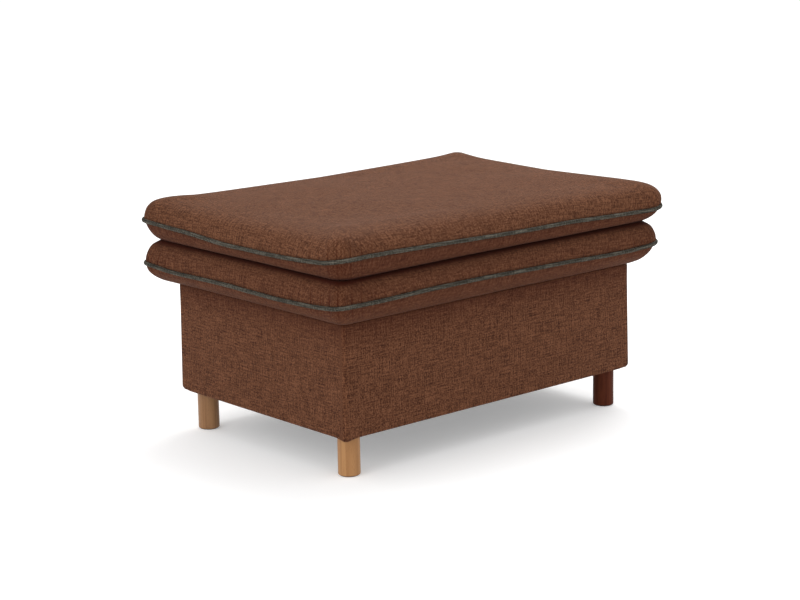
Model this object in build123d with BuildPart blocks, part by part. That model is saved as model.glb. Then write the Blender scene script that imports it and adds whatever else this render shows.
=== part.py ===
from build123d import *

import os
from math import cos, hypot, radians, sin

# Storage ottoman: an upholstered box on four turned legs, closed by a hinged lid that is made of
# two piped cushions stacked on a board. Millimetres. The origin is on the floor under the middle
# of the box, +X runs along the long side, -Y is the front and the hinges are on the +Y side.

# Box, outside its cloth
box_width = 750.0
box_depth = 508.0
box_height = 216.5
corner_radius = 6.0
bottom_edge_radius = 4.0

# Layers of the box wall, from the outside in
cloth = 1.0
wadding = 3.0
panel = 15.0
layer_gap = 0.2
bottom_fold = 24.0
rim_fold_drop = 22.0

# Legs, glides and what holds them
leg_length = 77.0
leg_diameter = 42.0
leg_inset = 35.4
leg_edge_radius = 1.5
glide_height = 2.0
glide_diameter = 37.0
block_size = 70.0
block_height = 28.0
leg_bolt_diameter = 8.0
leg_bolt_in_leg = 35.0
leg_bolt_edge = 1.0
tee_nut_barrel_diameter = 10.5
tee_nut_barrel_length = 12.0
tee_nut_flange_diameter = 22.0
tee_nut_flange = 1.5
metal_fit = 0.1

# Floor of the box
cleat_width = 22.0
floor_panel = 9.0
floor_fit = 0.3
dust_cloth = 0.6

# Lid
lid_gap = 0.3
lid_board = 15.0
lid_board_inset = 1.0
lid_flange = 26.0

# Cushions: the overhang is how far the skin stands out from the box wall at the piped seam
lower_cushion_height = 87.5
lower_cushion_overhang = 49.0
lower_seam_share = 0.437
upper_cushion_height = 82.5
upper_cushion_overhang = 53.0
upper_seam_share = 0.374
cushion_corner_radius = 40.0
side_draw = 5.0
waist_gap = 1.0
waist_tape_width = 14.0
waist_tape_inset = 5.0
piping_diameter = 7.0
core_inset = 34.0
core_corner_radius = 25.0
core_cover = 14.0

# Each row is one level of a cushion's skin: the shares of the overhang, of the half depth that the
# crown draws in, of the height, of the corner radius and of the draw of the sides.
lower_skin_shares = (
    (0.02, 0.00, 0.00, 0.20, 0.10),
    (0.30, 0.00, 0.04, 0.30, 0.30),
    (0.62, 0.00, 0.12, 0.50, 0.60),
    (0.88, 0.00, 0.25, 0.80, 0.90),
    (1.00, 0.00, lower_seam_share, 1.00, 1.00),
    (0.95, 0.00, 0.64, 1.00, 1.00),
    (0.81, 0.00, 0.83, 0.90, 1.00),
    (0.58, 0.00, 1.00, 0.70, 1.00),
)
upper_skin_shares = (
    (0.55, 0.00, 0.00, 0.70, 1.00),
    (0.76, 0.00, 0.07, 0.80, 1.00),
    (0.93, 0.00, 0.20, 0.95, 1.00),
    (1.00, 0.00, upper_seam_share, 1.00, 1.00),
    (0.96, 0.00, 0.56, 1.00, 1.00),
    (0.84, 0.00, 0.75, 1.00, 1.00),
    (0.62, 0.00, 0.89, 0.95, 1.00),
    (0.20, 0.00, 0.955, 0.90, 0.80),
    (0.00, 0.20, 0.985, 1.00, 0.60),
    (0.00, 0.60, 1.00, 1.00, 0.40),
)

# Hinges
hinge_count = 3
hinge_spacing = 260.0
hinge_length = 60.0
hinge_leaf_width = 24.0
hinge_thickness = 1.5
hinge_knuckles = 5
knuckle_radius = 4.5
knuckle_gap = 0.3
pin_radius = 2.95
pin_clearance = 0.05
hinge_stand_off = 0.3
leaf_relief = 0.7
notch_clearance = 0.3
hinge_screws_per_leaf = 3
hinge_screw_spacing = 21.0

# Screws
wood_screw_diameter = 4.0
wood_screw_length = 45.0
wood_screw_head = 8.0
wood_screw_edge = 32.0
small_screw_diameter = 3.5
small_screw_head = 6.6
small_screw_length = 13.5
floor_screw_length = 24.0
floor_screw_end = 45.0
rail_screw_length = 19.0
rail_screw_head = 8.0
rail_screw_head_height = 1.8

# Lid stays: an arm as long as the distance from the hinge axis to its pivot on the lid, whose
# stud slides in a rail that points at the hinge axis
stay_radius = 190.0
stay_tilt = 12.0
stay_open_angle = 80.0
rail_width = 16.0
rail_thickness = 2.0
rail_stand_off = 4.0
rail_end = 12.0
rail_foot_diameter = 12.0
slot_clearance = 0.3
slot_end_clearance = 0.5
arm_width = 18.0
arm_thickness = 2.5
stud_diameter = 6.0
stud_head_diameter = 11.0
stud_head = 2.2
stud_tail_diameter = 9.0
stud_tail = 1.2
stud_head_gap = 0.6
rivet_head_diameter = 10.0
rivet_head = 1.4
arm_side_gap = 0.3
rail_side_gap = 0.8
bracket_thickness = 2.0
bracket_top_width = 56.0
bracket_end_width = 20.0
bracket_flange = 20.0
bracket_screw_spacing = 36.0

overrun = 5.0

# Heights and places that follow from those sizes
half_width = box_width / 2
half_depth = box_depth / 2
box_bottom = glide_height + leg_length
rim_top = box_bottom + box_height
panel_setback = cloth + layer_gap + wadding + layer_gap
panel_outer_x = half_width - panel_setback
panel_outer_y = half_depth - panel_setback
panel_inner_x = panel_outer_x - panel
panel_inner_y = panel_outer_y - panel
frame_bottom = box_bottom + cloth + layer_gap
frame_top = rim_top - cloth - layer_gap
fold_bottom = rim_top - rim_fold_drop
floor_bottom = frame_bottom + block_height
floor_top = floor_bottom + floor_panel
lining_outer_x = panel_inner_x - layer_gap
lining_outer_y = panel_inner_y - layer_gap
wall_face_x = lining_outer_x - cloth
leg_x = half_width - leg_inset
leg_y = half_depth - leg_inset
lid_underside = rim_top + lid_gap
board_bottom = lid_underside + cloth
board_top = board_bottom + lid_board
cushion_waist = lid_underside + lower_cushion_height
piping_stand_out = piping_diameter / 2 - cloth
hinge_y = half_depth + hinge_stand_off + knuckle_radius
hinge_z = lid_underside - knuckle_radius
hinge_centres = [(i - (hinge_count - 1) / 2) * hinge_spacing for i in range(hinge_count)]
leaf_screw_offsets = [
    (i - (hinge_screws_per_leaf - 1) / 2) * hinge_screw_spacing for i in range(hinge_screws_per_leaf)
]
leg_places = [(sx * leg_x, sy * leg_y) for sx in (-1, 1) for sy in (-1, 1)]

low = (Align.MIN, Align.MIN, Align.MIN)
on_end = (Align.CENTER, Align.CENTER, Align.MIN)

os.makedirs("parts", exist_ok=True)


# Helpers
def block(corner, opposite, mode=Mode.ADD):
    """A box between its lowest and its highest corner."""
    size = [b - a for a, b in zip(corner, opposite)]
    with Locations(corner):
        Box(*size, align=low, mode=mode)


def centred_block(half_x, half_y, bottom, top, mode=Mode.ADD):
    """A box that stands around the Z axis."""
    block((-half_x, -half_y, bottom), (half_x, half_y, top), mode)


def rod(start, direction, radius, length, mode=Mode.ADD):
    """A cylinder from a point along a direction."""
    with Locations(Plane(origin=start, z_dir=direction)):
        Cylinder(radius, length, align=on_end, mode=mode)


def screw(face, direction, diameter, head, length, grow=0, mode=Mode.ADD):
    """A countersunk screw whose head's face is centred on a point; grow widens it to its hole."""
    with Locations(Plane(origin=face, z_dir=direction)):
        Cone(head / 2 + grow, diameter / 2, (head - diameter) / 2 + grow, align=on_end, mode=mode)
        Cylinder(diameter / 2 + grow, length + grow, align=on_end, mode=mode)


def soft_block(half_x, half_y, bottom, top, side_radius, foot_radius):
    """A solid box with rounded upright edges and a rounded lower edge."""
    with BuildPart() as solid:
        centred_block(half_x, half_y, bottom, top)
        fillet(solid.edges().filter_by(Axis.Z), side_radius)
        fillet(solid.edges().group_by(Axis.Z)[0], foot_radius)
    return solid.part


def save(piece, name):
    """Label a finished piece and write it as one node."""
    piece.label = name
    export_step(piece, f"parts/{name}.step")


def twin(piece):
    """The same piece on the other end of the box."""
    with BuildPart() as other:
        mirror(piece, about=Plane.YZ)
    return other.part


def both_ends(piece):
    """One node with the piece on both ends of the box."""
    with BuildPart() as pair:
        add(piece)
        mirror(piece, about=Plane.YZ)
    return pair.part


# Hinge notches and screw places, shared by all that they pass through
def cut_hinge_notches():
    """Room in the rim for the leaves that carry the lid."""
    floor_of_notch = lid_underside - hinge_thickness - notch_clearance
    for centre in hinge_centres:
        reach = hinge_length / 2 + notch_clearance
        block(
            (centre - reach, hinge_y - hinge_leaf_width - notch_clearance, floor_of_notch),
            (centre + reach, hinge_y + overrun, rim_top + overrun),
            Mode.SUBTRACT,
        )


def hinge_wall_screws(grow=0, mode=Mode.ADD):
    """Screws that go forward through the upright leaves into the back panel."""
    height = hinge_z - (hinge_leaf_width + knuckle_radius + leaf_relief) / 2
    for centre in hinge_centres:
        for offset in leaf_screw_offsets:
            face = (centre + offset, half_depth + hinge_stand_off + hinge_thickness, height)
            screw(face, (0, -1, 0), small_screw_diameter, small_screw_head,
                  small_screw_length, grow, mode)


def hinge_lid_screws(grow=0, mode=Mode.ADD):
    """Screws that go up through the flat leaves into the lid board."""
    place = hinge_y - (hinge_leaf_width + knuckle_radius + leaf_relief) / 2
    for centre in hinge_centres:
        for offset in leaf_screw_offsets:
            face = (centre + offset, place, lid_underside - hinge_thickness)
            screw(face, (0, 0, 1), small_screw_diameter, small_screw_head,
                  small_screw_length, grow, mode)


def panel_screws(grow=0, mode=Mode.ADD):
    """Screws that join the front and back panels to the ends of the end panels."""
    levels = (frame_bottom + wood_screw_edge, (frame_bottom + frame_top) / 2, frame_top - wood_screw_edge)
    for side_x in (-1, 1):
        for side_y in (-1, 1):
            for level in levels:
                face = (side_x * (panel_outer_x - panel / 2), side_y * panel_outer_y, level)
                screw(face, (0, -side_y, 0), wood_screw_diameter, wood_screw_head,
                      wood_screw_length, grow, mode)


def floor_screws(grow=0, mode=Mode.ADD):
    """Screws that go down through the floor panel into the cleats."""
    along = panel_inner_x - block_size - floor_screw_end
    across = panel_inner_y - block_size - floor_screw_end
    edge_x = panel_inner_x - cleat_width / 2
    edge_y = panel_inner_y - cleat_width / 2
    places = [(share * along, side * edge_y) for share in (-1, 0, 1) for side in (-1, 1)]
    places += [(side * edge_x, share * across) for share in (-1, 1) for side in (-1, 1)]
    for x, y in places:
        screw((x, y, floor_top), (0, 0, -1), wood_screw_diameter, wood_screw_head,
              floor_screw_length, grow, mode)


# Stay geometry, drawn on the left end; the right end is its mirror image
tilt_y = cos(radians(stay_tilt))
tilt_z = sin(radians(stay_tilt))
stud_closed = 2 * stay_radius
stud_open = 2 * stay_radius * cos(radians(stay_open_angle))
slot_half_width = stud_diameter / 2 + slot_clearance
slot_start = stud_open - slot_half_width - slot_end_clearance
slot_end = stud_closed + slot_half_width + slot_end_clearance
foot_places = (slot_start - rail_end, slot_end + rail_end)
rail_start = foot_places[0] - rail_width / 2
rail_stop = foot_places[1] + rail_width / 2
rail_inner_level = rail_stand_off + rail_thickness
arm_level = rail_inner_level + rail_side_gap + rivet_head + arm_side_gap
bracket_level = arm_level + arm_thickness + arm_side_gap
pivot_y = hinge_y - stay_radius * tilt_y
pivot_z = hinge_z - stay_radius * tilt_z


def stay_plane(level):
    """The plane of the stay at a distance in from the left wall, X along the rail from the hinge."""
    return Plane(
        origin=(-wall_face_x + level, hinge_y, hinge_z), x_dir=(0, -tilt_y, -tilt_z), z_dir=(1, 0, 0)
    )


def stay_point(along, level, side=-1):
    """A point on the rail's centre line, at a distance in from an end wall."""
    return (side * (wall_face_x - level), hinge_y - along * tilt_y, hinge_z - along * tilt_z)


def rail_screws(sides, grow=0, mode=Mode.ADD):
    """Shanks of the screws that hold the rails by their feet."""
    for side in sides:
        for place in foot_places:
            rod(stay_point(place, rail_inner_level, side), (side, 0, 0), wood_screw_diameter / 2 + grow,
                rail_screw_length + grow, mode)


def bracket_screw_places():
    """Screw places in the left bracket's flange, seen from above."""
    middle = -wall_face_x + bracket_level + bracket_flange / 2 + bracket_thickness / 2
    return [(middle, pivot_y + side * bracket_screw_spacing / 2) for side in (-1, 1)]


def bracket_screws(grow=0, mode=Mode.ADD):
    """Screws that go up through the left bracket's flange into the lid board."""
    for x, y in bracket_screw_places():
        screw((x, y, board_bottom - dust_cloth - bracket_thickness), (0, 0, 1), small_screw_diameter,
              small_screw_head, small_screw_length, grow, mode)


# Front and back panels
for side, name in ((-1, "front_panel"), (1, "back_panel")):
    with BuildPart() as long_panel:
        near = min(side * panel_inner_y, side * panel_outer_y)
        block((-panel_outer_x, near, frame_bottom), (panel_outer_x, near + panel, frame_top))
        outer_edges = long_panel.edges().filter_by(Axis.Z).sort_by(Axis.Y, reverse=side > 0)[:2]
        fillet(outer_edges, corner_radius - panel_setback)
        panel_screws(metal_fit, Mode.SUBTRACT)
        if side > 0:
            cut_hinge_notches()
            hinge_wall_screws(metal_fit, Mode.SUBTRACT)
    save(long_panel.part, name)

# End panels
with BuildPart() as left_panel:
    block((-panel_outer_x, -panel_inner_y, frame_bottom), (-panel_inner_x, panel_inner_y, frame_top))
    panel_screws(metal_fit, Mode.SUBTRACT)
    rail_screws((-1,), metal_fit, Mode.SUBTRACT)
save(left_panel.part, "left_panel")
save(twin(left_panel.part), "right_panel")

with BuildPart() as all_panel_screws:
    panel_screws()
save(all_panel_screws.part, "panel_screws")

# Corner blocks with the tee nuts that take the leg bolts
nut_top = floor_bottom
with BuildPart() as corner_blocks:
    for x, y in leg_places:
        side_x = 1 if x > 0 else -1
        side_y = 1 if y > 0 else -1
        inner = (side_x * (panel_inner_x - block_size), side_y * (panel_inner_y - block_size))
        outer = (side_x * panel_inner_x, side_y * panel_inner_y)
        block(
            (min(inner[0], outer[0]), min(inner[1], outer[1]), frame_bottom),
            (max(inner[0], outer[0]), max(inner[1], outer[1]), floor_bottom),
        )
        rod((x, y, nut_top), (0, 0, -1), tee_nut_flange_diameter / 2 + metal_fit,
            tee_nut_flange, Mode.SUBTRACT)
        rod((x, y, nut_top), (0, 0, -1), tee_nut_barrel_diameter / 2 + metal_fit,
            tee_nut_flange + tee_nut_barrel_length, Mode.SUBTRACT)
        rod((x, y, nut_top), (0, 0, -1), leg_bolt_diameter / 2 + metal_fit, block_height + overrun,
            Mode.SUBTRACT)
save(corner_blocks.part, "corner_blocks")

with BuildPart() as tee_nuts:
    for x, y in leg_places:
        rod((x, y, nut_top), (0, 0, -1), tee_nut_flange_diameter / 2, tee_nut_flange)
        rod((x, y, nut_top), (0, 0, -1), tee_nut_barrel_diameter / 2,
            tee_nut_flange + tee_nut_barrel_length)
        rod((x, y, nut_top + overrun), (0, 0, -1), leg_bolt_diameter / 2 + metal_fit,
            tee_nut_barrel_length + 2 * overrun, Mode.SUBTRACT)
save(tee_nuts.part, "tee_nuts")

with BuildPart() as leg_bolts:
    for x, y in leg_places:
        rod((x, y, box_bottom - leg_bolt_in_leg), (0, 0, 1), leg_bolt_diameter / 2,
            nut_top - box_bottom + leg_bolt_in_leg)
    chamfer(leg_bolts.edges().filter_by(GeomType.CIRCLE), leg_bolt_edge)
save(leg_bolts.part, "leg_bolts")

# Cleats that carry the floor between the corner blocks
with BuildPart() as long_cleats:
    reach = panel_inner_x - block_size - floor_fit
    for side in (-1, 1):
        near = min(side * panel_inner_y, side * (panel_inner_y - cleat_width))
        block((-reach, near, frame_bottom), (reach, near + cleat_width, floor_bottom))
    floor_screws(metal_fit, Mode.SUBTRACT)
save(long_cleats.part, "long_cleats")

with BuildPart() as short_cleats:
    reach = panel_inner_y - block_size - floor_fit
    for side in (-1, 1):
        near = min(side * panel_inner_x, side * (panel_inner_x - cleat_width))
        block((near, -reach, frame_bottom), (near + cleat_width, reach, floor_bottom))
    floor_screws(metal_fit, Mode.SUBTRACT)
save(short_cleats.part, "short_cleats")

with BuildPart() as floor:
    centred_block(panel_inner_x - floor_fit, panel_inner_y - floor_fit, floor_bottom, floor_top)
    floor_screws(metal_fit, Mode.SUBTRACT)
save(floor.part, "floor_panel")

with BuildPart() as all_floor_screws:
    floor_screws()
save(all_floor_screws.part, "floor_screws")

# Wadding sleeve around the panels
with BuildPart() as base_wadding:
    add(soft_block(half_width - cloth - layer_gap, half_depth - cloth - layer_gap, frame_bottom,
                   frame_top, corner_radius - cloth - layer_gap,
                   bottom_edge_radius - cloth - layer_gap))
    centred_block(panel_outer_x + layer_gap, panel_outer_y + layer_gap, frame_bottom, frame_top,
                  Mode.SUBTRACT)
    cut_hinge_notches()
    hinge_wall_screws(metal_fit, Mode.SUBTRACT)
save(base_wadding.part, "base_wadding")

# Cloth cover of the box, folded over the rim and under the frame
with BuildPart() as base_cover:
    add(soft_block(half_width, half_depth, box_bottom, rim_top, corner_radius, bottom_edge_radius))
    add(soft_block(half_width - cloth, half_depth - cloth, box_bottom + cloth, rim_top - cloth,
                   corner_radius - cloth, bottom_edge_radius - cloth), mode=Mode.SUBTRACT)
    centred_block(lining_outer_x, lining_outer_y, fold_bottom, rim_top - cloth)
    centred_block(lining_outer_x - cloth, lining_outer_y - cloth, fold_bottom, rim_top, Mode.SUBTRACT)
    centred_block(half_width - bottom_fold, half_depth - bottom_fold, box_bottom,
                  box_bottom + cloth, Mode.SUBTRACT)
    cut_hinge_notches()
    hinge_wall_screws(metal_fit, Mode.SUBTRACT)
    rail_screws((-1, 1), metal_fit, Mode.SUBTRACT)
save(base_cover.part, "base_cover")

# Lining of the storage space
with BuildPart() as storage_lining:
    lining_top = fold_bottom - layer_gap
    lining_bottom = floor_top + layer_gap
    centred_block(lining_outer_x, lining_outer_y, lining_bottom, lining_top)
    centred_block(wall_face_x, lining_outer_y - cloth, lining_bottom + cloth, lining_top, Mode.SUBTRACT)
    rail_screws((-1, 1), metal_fit, Mode.SUBTRACT)
save(storage_lining.part, "storage_lining")

# Dust cloth under the frame
with BuildPart() as dust_cover:
    centred_block(half_width - bottom_fold - floor_fit, half_depth - bottom_fold - floor_fit,
                  frame_bottom - dust_cloth, frame_bottom)
    for x, y in leg_places:
        rod((x, y, frame_bottom - dust_cloth), (0, 0, 1), leg_bolt_diameter / 2 + metal_fit,
            dust_cloth, Mode.SUBTRACT)
save(dust_cover.part, "dust_cover")

# Turned legs and their felt glides
for side_x, across in ((-1, "left"), (1, "right")):
    for side_y, along in ((-1, "front"), (1, "back")):
        x = side_x * leg_x
        y = side_y * leg_y
        with BuildPart() as leg:
            rod((x, y, glide_height), (0, 0, 1), leg_diameter / 2, leg_length)
            fillet(leg.edges().group_by(Axis.Z)[0], leg_edge_radius)
            rod((x, y, box_bottom), (0, 0, -1), leg_bolt_diameter / 2 + metal_fit,
                leg_bolt_in_leg + metal_fit, Mode.SUBTRACT)
        save(leg.part, f"leg_{along}_{across}")

with BuildPart() as leg_glides:
    for x, y in leg_places:
        rod((x, y, 0), (0, 0, 1), glide_diameter / 2, glide_height)
save(leg_glides.part, "leg_glides")

# Butt hinges: the upright leaf is on the back of the box, the flat leaf is under the lid
knuckle = (hinge_length - (hinge_knuckles - 1) * knuckle_gap) / hinge_knuckles
bore_radius = pin_radius + pin_clearance
leaf_start = knuckle_radius + leaf_relief


def knuckle_spans(centre, first):
    """The start and end of every second knuckle along one hinge."""
    start = centre - hinge_length / 2
    return [
        (start + i * (knuckle + knuckle_gap), start + i * (knuckle + knuckle_gap) + knuckle)
        for i in range(first, hinge_knuckles, 2)
    ]


with BuildPart() as wall_leaves:
    near = half_depth + hinge_stand_off
    for centre in hinge_centres:
        block((centre - hinge_length / 2, near, hinge_z - hinge_leaf_width),
              (centre + hinge_length / 2, near + hinge_thickness, hinge_z - leaf_start))
        for start, end in knuckle_spans(centre, 0):
            block((start, near, hinge_z - leaf_start), (end, near + hinge_thickness, hinge_z))
            rod((start, hinge_y, hinge_z), (1, 0, 0), knuckle_radius, knuckle)
        rod((centre - hinge_length / 2, hinge_y, hinge_z), (1, 0, 0), bore_radius, hinge_length,
            Mode.SUBTRACT)
    hinge_wall_screws(metal_fit, Mode.SUBTRACT)
save(wall_leaves.part, "hinge_wall_leaves")

with BuildPart() as lid_leaves:
    top = lid_underside
    for centre in hinge_centres:
        block((centre - hinge_length / 2, hinge_y - hinge_leaf_width, top - hinge_thickness),
              (centre + hinge_length / 2, hinge_y - leaf_start, top))
        for start, end in knuckle_spans(centre, 1):
            block((start, hinge_y - leaf_start, top - hinge_thickness), (end, hinge_y, top))
            rod((start, hinge_y, hinge_z), (1, 0, 0), knuckle_radius, knuckle)
        rod((centre - hinge_length / 2, hinge_y, hinge_z), (1, 0, 0), bore_radius, hinge_length,
            Mode.SUBTRACT)
    hinge_lid_screws(metal_fit, Mode.SUBTRACT)
save(lid_leaves.part, "hinge_lid_leaves")

with BuildPart() as hinge_pins:
    for centre in hinge_centres:
        rod((centre - hinge_length / 2, hinge_y, hinge_z), (1, 0, 0), pin_radius, hinge_length)
save(hinge_pins.part, "hinge_pins")

with BuildPart() as wall_leaf_screws:
    hinge_wall_screws()
save(wall_leaf_screws.part, "hinge_wall_screws")

with BuildPart() as lid_leaf_screws:
    hinge_lid_screws()
save(lid_leaf_screws.part, "hinge_lid_screws")

# Stay rails on the end walls
with BuildPart() as left_rail:
    with BuildSketch(stay_plane(rail_stand_off)):
        with Locations(((rail_start + rail_stop) / 2, 0)):
            SlotOverall(rail_stop - rail_start, rail_width)
        with Locations(((slot_start + slot_end) / 2, 0)):
            SlotOverall(slot_end - slot_start, 2 * slot_half_width, mode=Mode.SUBTRACT)
    extrude(amount=rail_thickness)
    for place in foot_places:
        rod(stay_point(place, 0), (1, 0, 0), rail_foot_diameter / 2, rail_stand_off)
        rod(stay_point(place, 0), (1, 0, 0), wood_screw_diameter / 2 + metal_fit,
            rail_inner_level, Mode.SUBTRACT)
save(left_rail.part, "stay_rail_left")
save(twin(left_rail.part), "stay_rail_right")

with BuildPart() as all_rail_screws:
    rail_screws((-1, 1))
    for side in (-1, 1):
        for place in foot_places:
            rod(stay_point(place, rail_inner_level, side), (-side, 0, 0), rail_screw_head / 2,
                rail_screw_head_height)
save(all_rail_screws.part, "stay_rail_screws")

# Stay arms, each with the stud that slides in the rail
with BuildPart() as left_arm:
    with BuildSketch(stay_plane(arm_level)):
        with Locations(((stay_radius + stud_closed) / 2, 0)):
            SlotCenterToCenter(stay_radius, arm_width)
        with Locations((stay_radius, 0), (stud_closed, 0)):
            Circle(stud_diameter / 2 + pin_clearance, mode=Mode.SUBTRACT)
    extrude(amount=arm_thickness)
save(left_arm.part, "stay_arm_left")
save(twin(left_arm.part), "stay_arm_right")

with BuildPart() as left_stud:
    head_start = rail_stand_off - stud_head_gap - stud_head
    rod(stay_point(stud_closed, head_start), (1, 0, 0), stud_head_diameter / 2, stud_head)
    rod(stay_point(stud_closed, head_start), (1, 0, 0), stud_diameter / 2,
        arm_level + arm_thickness - head_start)
    rod(stay_point(stud_closed, arm_level + arm_thickness), (1, 0, 0), stud_tail_diameter / 2, stud_tail)
save(left_stud.part, "stay_stud_left")
save(twin(left_stud.part), "stay_stud_right")

# Brackets under the lid that carry the arms, and their pivot rivets
bracket_top = board_bottom - dust_cloth
with BuildPart() as left_bracket:
    with BuildSketch(Plane(origin=(-wall_face_x + bracket_level, 0, 0), x_dir=(0, 1, 0), z_dir=(1, 0, 0))):
        with BuildLine():
            Polyline(
                (pivot_y - bracket_end_width / 2, pivot_z),
                (pivot_y - bracket_top_width / 2, bracket_top),
                (pivot_y + bracket_top_width / 2, bracket_top),
                (pivot_y + bracket_end_width / 2, pivot_z),
                close=True,
            )
        make_face()
        with Locations((pivot_y, pivot_z)):
            Circle(bracket_end_width / 2)
            Circle(stud_diameter / 2 + pin_clearance, mode=Mode.SUBTRACT)
    extrude(amount=bracket_thickness)
    flange_start = -wall_face_x + bracket_level
    block((flange_start, pivot_y - bracket_top_width / 2, bracket_top - bracket_thickness),
          (flange_start + bracket_flange, pivot_y + bracket_top_width / 2, bracket_top))
    bracket_screws(metal_fit, Mode.SUBTRACT)
save(left_bracket.part, "stay_bracket_left")
save(twin(left_bracket.part), "stay_bracket_right")

with BuildPart() as left_rivet:
    rivet_start = arm_level - arm_side_gap - rivet_head
    rivet_end = bracket_level + bracket_thickness
    rod(stay_point(stay_radius, rivet_start), (1, 0, 0), rivet_head_diameter / 2, rivet_head)
    rod(stay_point(stay_radius, rivet_start), (1, 0, 0), stud_diameter / 2, rivet_end - rivet_start)
    rod(stay_point(stay_radius, rivet_end), (1, 0, 0), stud_tail_diameter / 2, stud_tail)
save(both_ends(left_rivet.part), "stay_pivot_rivets")

with BuildPart() as left_bracket_screws:
    bracket_screws()
save(both_ends(left_bracket_screws.part), "stay_bracket_screws")

# Lid board, and the cloth that covers its underside inside the cushion's flange
board_half_x = half_width - lid_board_inset
board_half_y = half_depth - lid_board_inset
with BuildPart() as left_half_holes:
    bracket_screws(metal_fit)
bracket_holes = both_ends(left_half_holes.part)

with BuildPart() as board:
    centred_block(board_half_x, board_half_y, board_bottom, board_top)
    fillet(board.edges().filter_by(Axis.Z), corner_radius)
    hinge_lid_screws(metal_fit, Mode.SUBTRACT)
    add(bracket_holes, mode=Mode.SUBTRACT)
save(board.part, "lid_board")

with BuildPart() as underside_cloth:
    centred_block(half_width - lid_flange - floor_fit, half_depth - lid_flange - floor_fit,
                  board_bottom - dust_cloth, board_bottom)
    add(bracket_holes, mode=Mode.SUBTRACT)
save(underside_cloth.part, "lid_underside_cloth")


# Cushions
def skin(shares, bottom, height, overhang):
    """The levels of a cushion as overhang, height, corner radius and draw of the sides."""
    return [
        (
            overhang_share * overhang - crown_share * half_depth,
            bottom + height_share * height,
            radius_share * cushion_corner_radius,
            draw_share * side_draw,
        )
        for overhang_share, crown_share, height_share, radius_share, draw_share in shares
    ]


def moved_in(levels, inset):
    """The same levels, moved in along the skin's normals; the flat ends move straight in."""
    moved = []
    for i, (overhang, height, radius, draw) in enumerate(levels):
        before = levels[max(i - 1, 0)]
        after = levels[min(i + 1, len(levels) - 1)]
        run = after[0] - before[0]
        rise = after[1] - before[1]
        shift = inset / hypot(run, rise)
        climb = shift * run
        if i == 0:
            climb = inset
        if i == len(levels) - 1:
            climb = -inset
        moved.append((overhang - shift * rise, height + climb, radius - shift * rise, draw))
    return moved


def outline(overhang, radius, draw, mode=Mode.ADD):
    """A rectangle whose sides are drawn in and whose corners are rounded, in the open sketch."""
    x = half_width + overhang
    y = half_depth + overhang
    end_draw = draw * box_depth / box_width
    with BuildSketch(mode=Mode.PRIVATE) as shape:
        with BuildLine():
            ThreePointArc((-x, -y), (0, draw - y), (x, -y))
            ThreePointArc((x, -y), (x - end_draw, 0), (x, y))
            ThreePointArc((x, y), (0, y - draw), (-x, y))
            ThreePointArc((-x, y), (end_draw - x, 0), (-x, -y))
        make_face()
        fillet(shape.vertices(), radius)
    add(shape.sketch, mode=mode)


def cushion_solid(levels):
    """A loft through the levels of a cushion."""
    with BuildPart() as solid:
        for overhang, height, radius, draw in levels:
            with BuildSketch(Plane.XY.offset(height)):
                outline(overhang, radius, draw)
        loft(ruled=True)
    return solid.part


def piping(overhang, height):
    """A round cord that runs once round a cushion in its seam, against the fibre wrap."""
    with BuildSketch(Plane.XY.offset(height)) as seam:
        outline(overhang + piping_stand_out, cushion_corner_radius + piping_stand_out, side_draw)
    path = seam.sketch.face().outer_wire()
    with BuildPart() as ring:
        with BuildSketch(Plane(origin=path @ 0, z_dir=path % 0)):
            Circle(piping_diameter / 2)
        sweep(path=path)
    return ring.part


def make_cushion(name, shares, bottom, height, overhang, seam_share, core_bottom):
    """Foam core, fibre wrap, two cover halves and piping; returns the pieces by name."""
    levels = skin(shares, bottom, height, overhang)
    seam_height = bottom + seam_share * height
    outer = cushion_solid(levels)
    inner = cushion_solid(moved_in(levels, cloth))
    filling = cushion_solid(moved_in(levels, cloth + layer_gap))
    pieces = {f"{name}_piping": piping(overhang, seam_height)}

    with BuildPart() as core:
        centred_block(half_width + overhang - core_inset, half_depth + overhang - core_inset,
                      core_bottom, bottom + height - core_cover)
        fillet(core.edges().filter_by(Axis.Z), core_corner_radius)
    pieces[f"{name}_foam_core"] = core.part

    with BuildPart() as wrap:
        add(filling)
        with BuildSketch(Plane.XY.offset(core_bottom - layer_gap)):
            RectangleRounded(
                2 * (half_width + overhang - core_inset + layer_gap),
                2 * (half_depth + overhang - core_inset + layer_gap),
                core_corner_radius + layer_gap,
            )
        extrude(amount=bottom + height - core_cover - core_bottom + 2 * layer_gap, mode=Mode.SUBTRACT)
    pieces[f"{name}_fibre_wrap"] = wrap.part

    seam_room = piping_diameter / 2 + layer_gap
    for side, keep, half in ((1, Keep.TOP, "top"), (-1, Keep.BOTTOM, "bottom")):
        with BuildPart() as cover:
            add(outer)
            add(inner, mode=Mode.SUBTRACT)
            split(bisect_by=Plane.XY.offset(seam_height + side * seam_room), keep=keep)
        pieces[f"{name}_{half}_cover"] = cover.part
    return pieces


lower = make_cushion("lower_cushion", lower_skin_shares, lid_underside, lower_cushion_height,
                     lower_cushion_overhang, lower_seam_share, board_top + layer_gap)
upper_bottom = cushion_waist + waist_gap
upper = make_cushion("upper_cushion", upper_skin_shares, upper_bottom, upper_cushion_height,
                     upper_cushion_overhang, upper_seam_share, upper_bottom + core_cover)

# The lower cushion wraps the lid board, and its cover is folded under it as a flange
with BuildPart() as lower_wrap:
    add(lower["lower_cushion_fibre_wrap"])
    centred_block(board_half_x + layer_gap, board_half_y + layer_gap, lid_underside,
                  board_top + layer_gap, Mode.SUBTRACT)
lower["lower_cushion_fibre_wrap"] = lower_wrap.part

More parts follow.
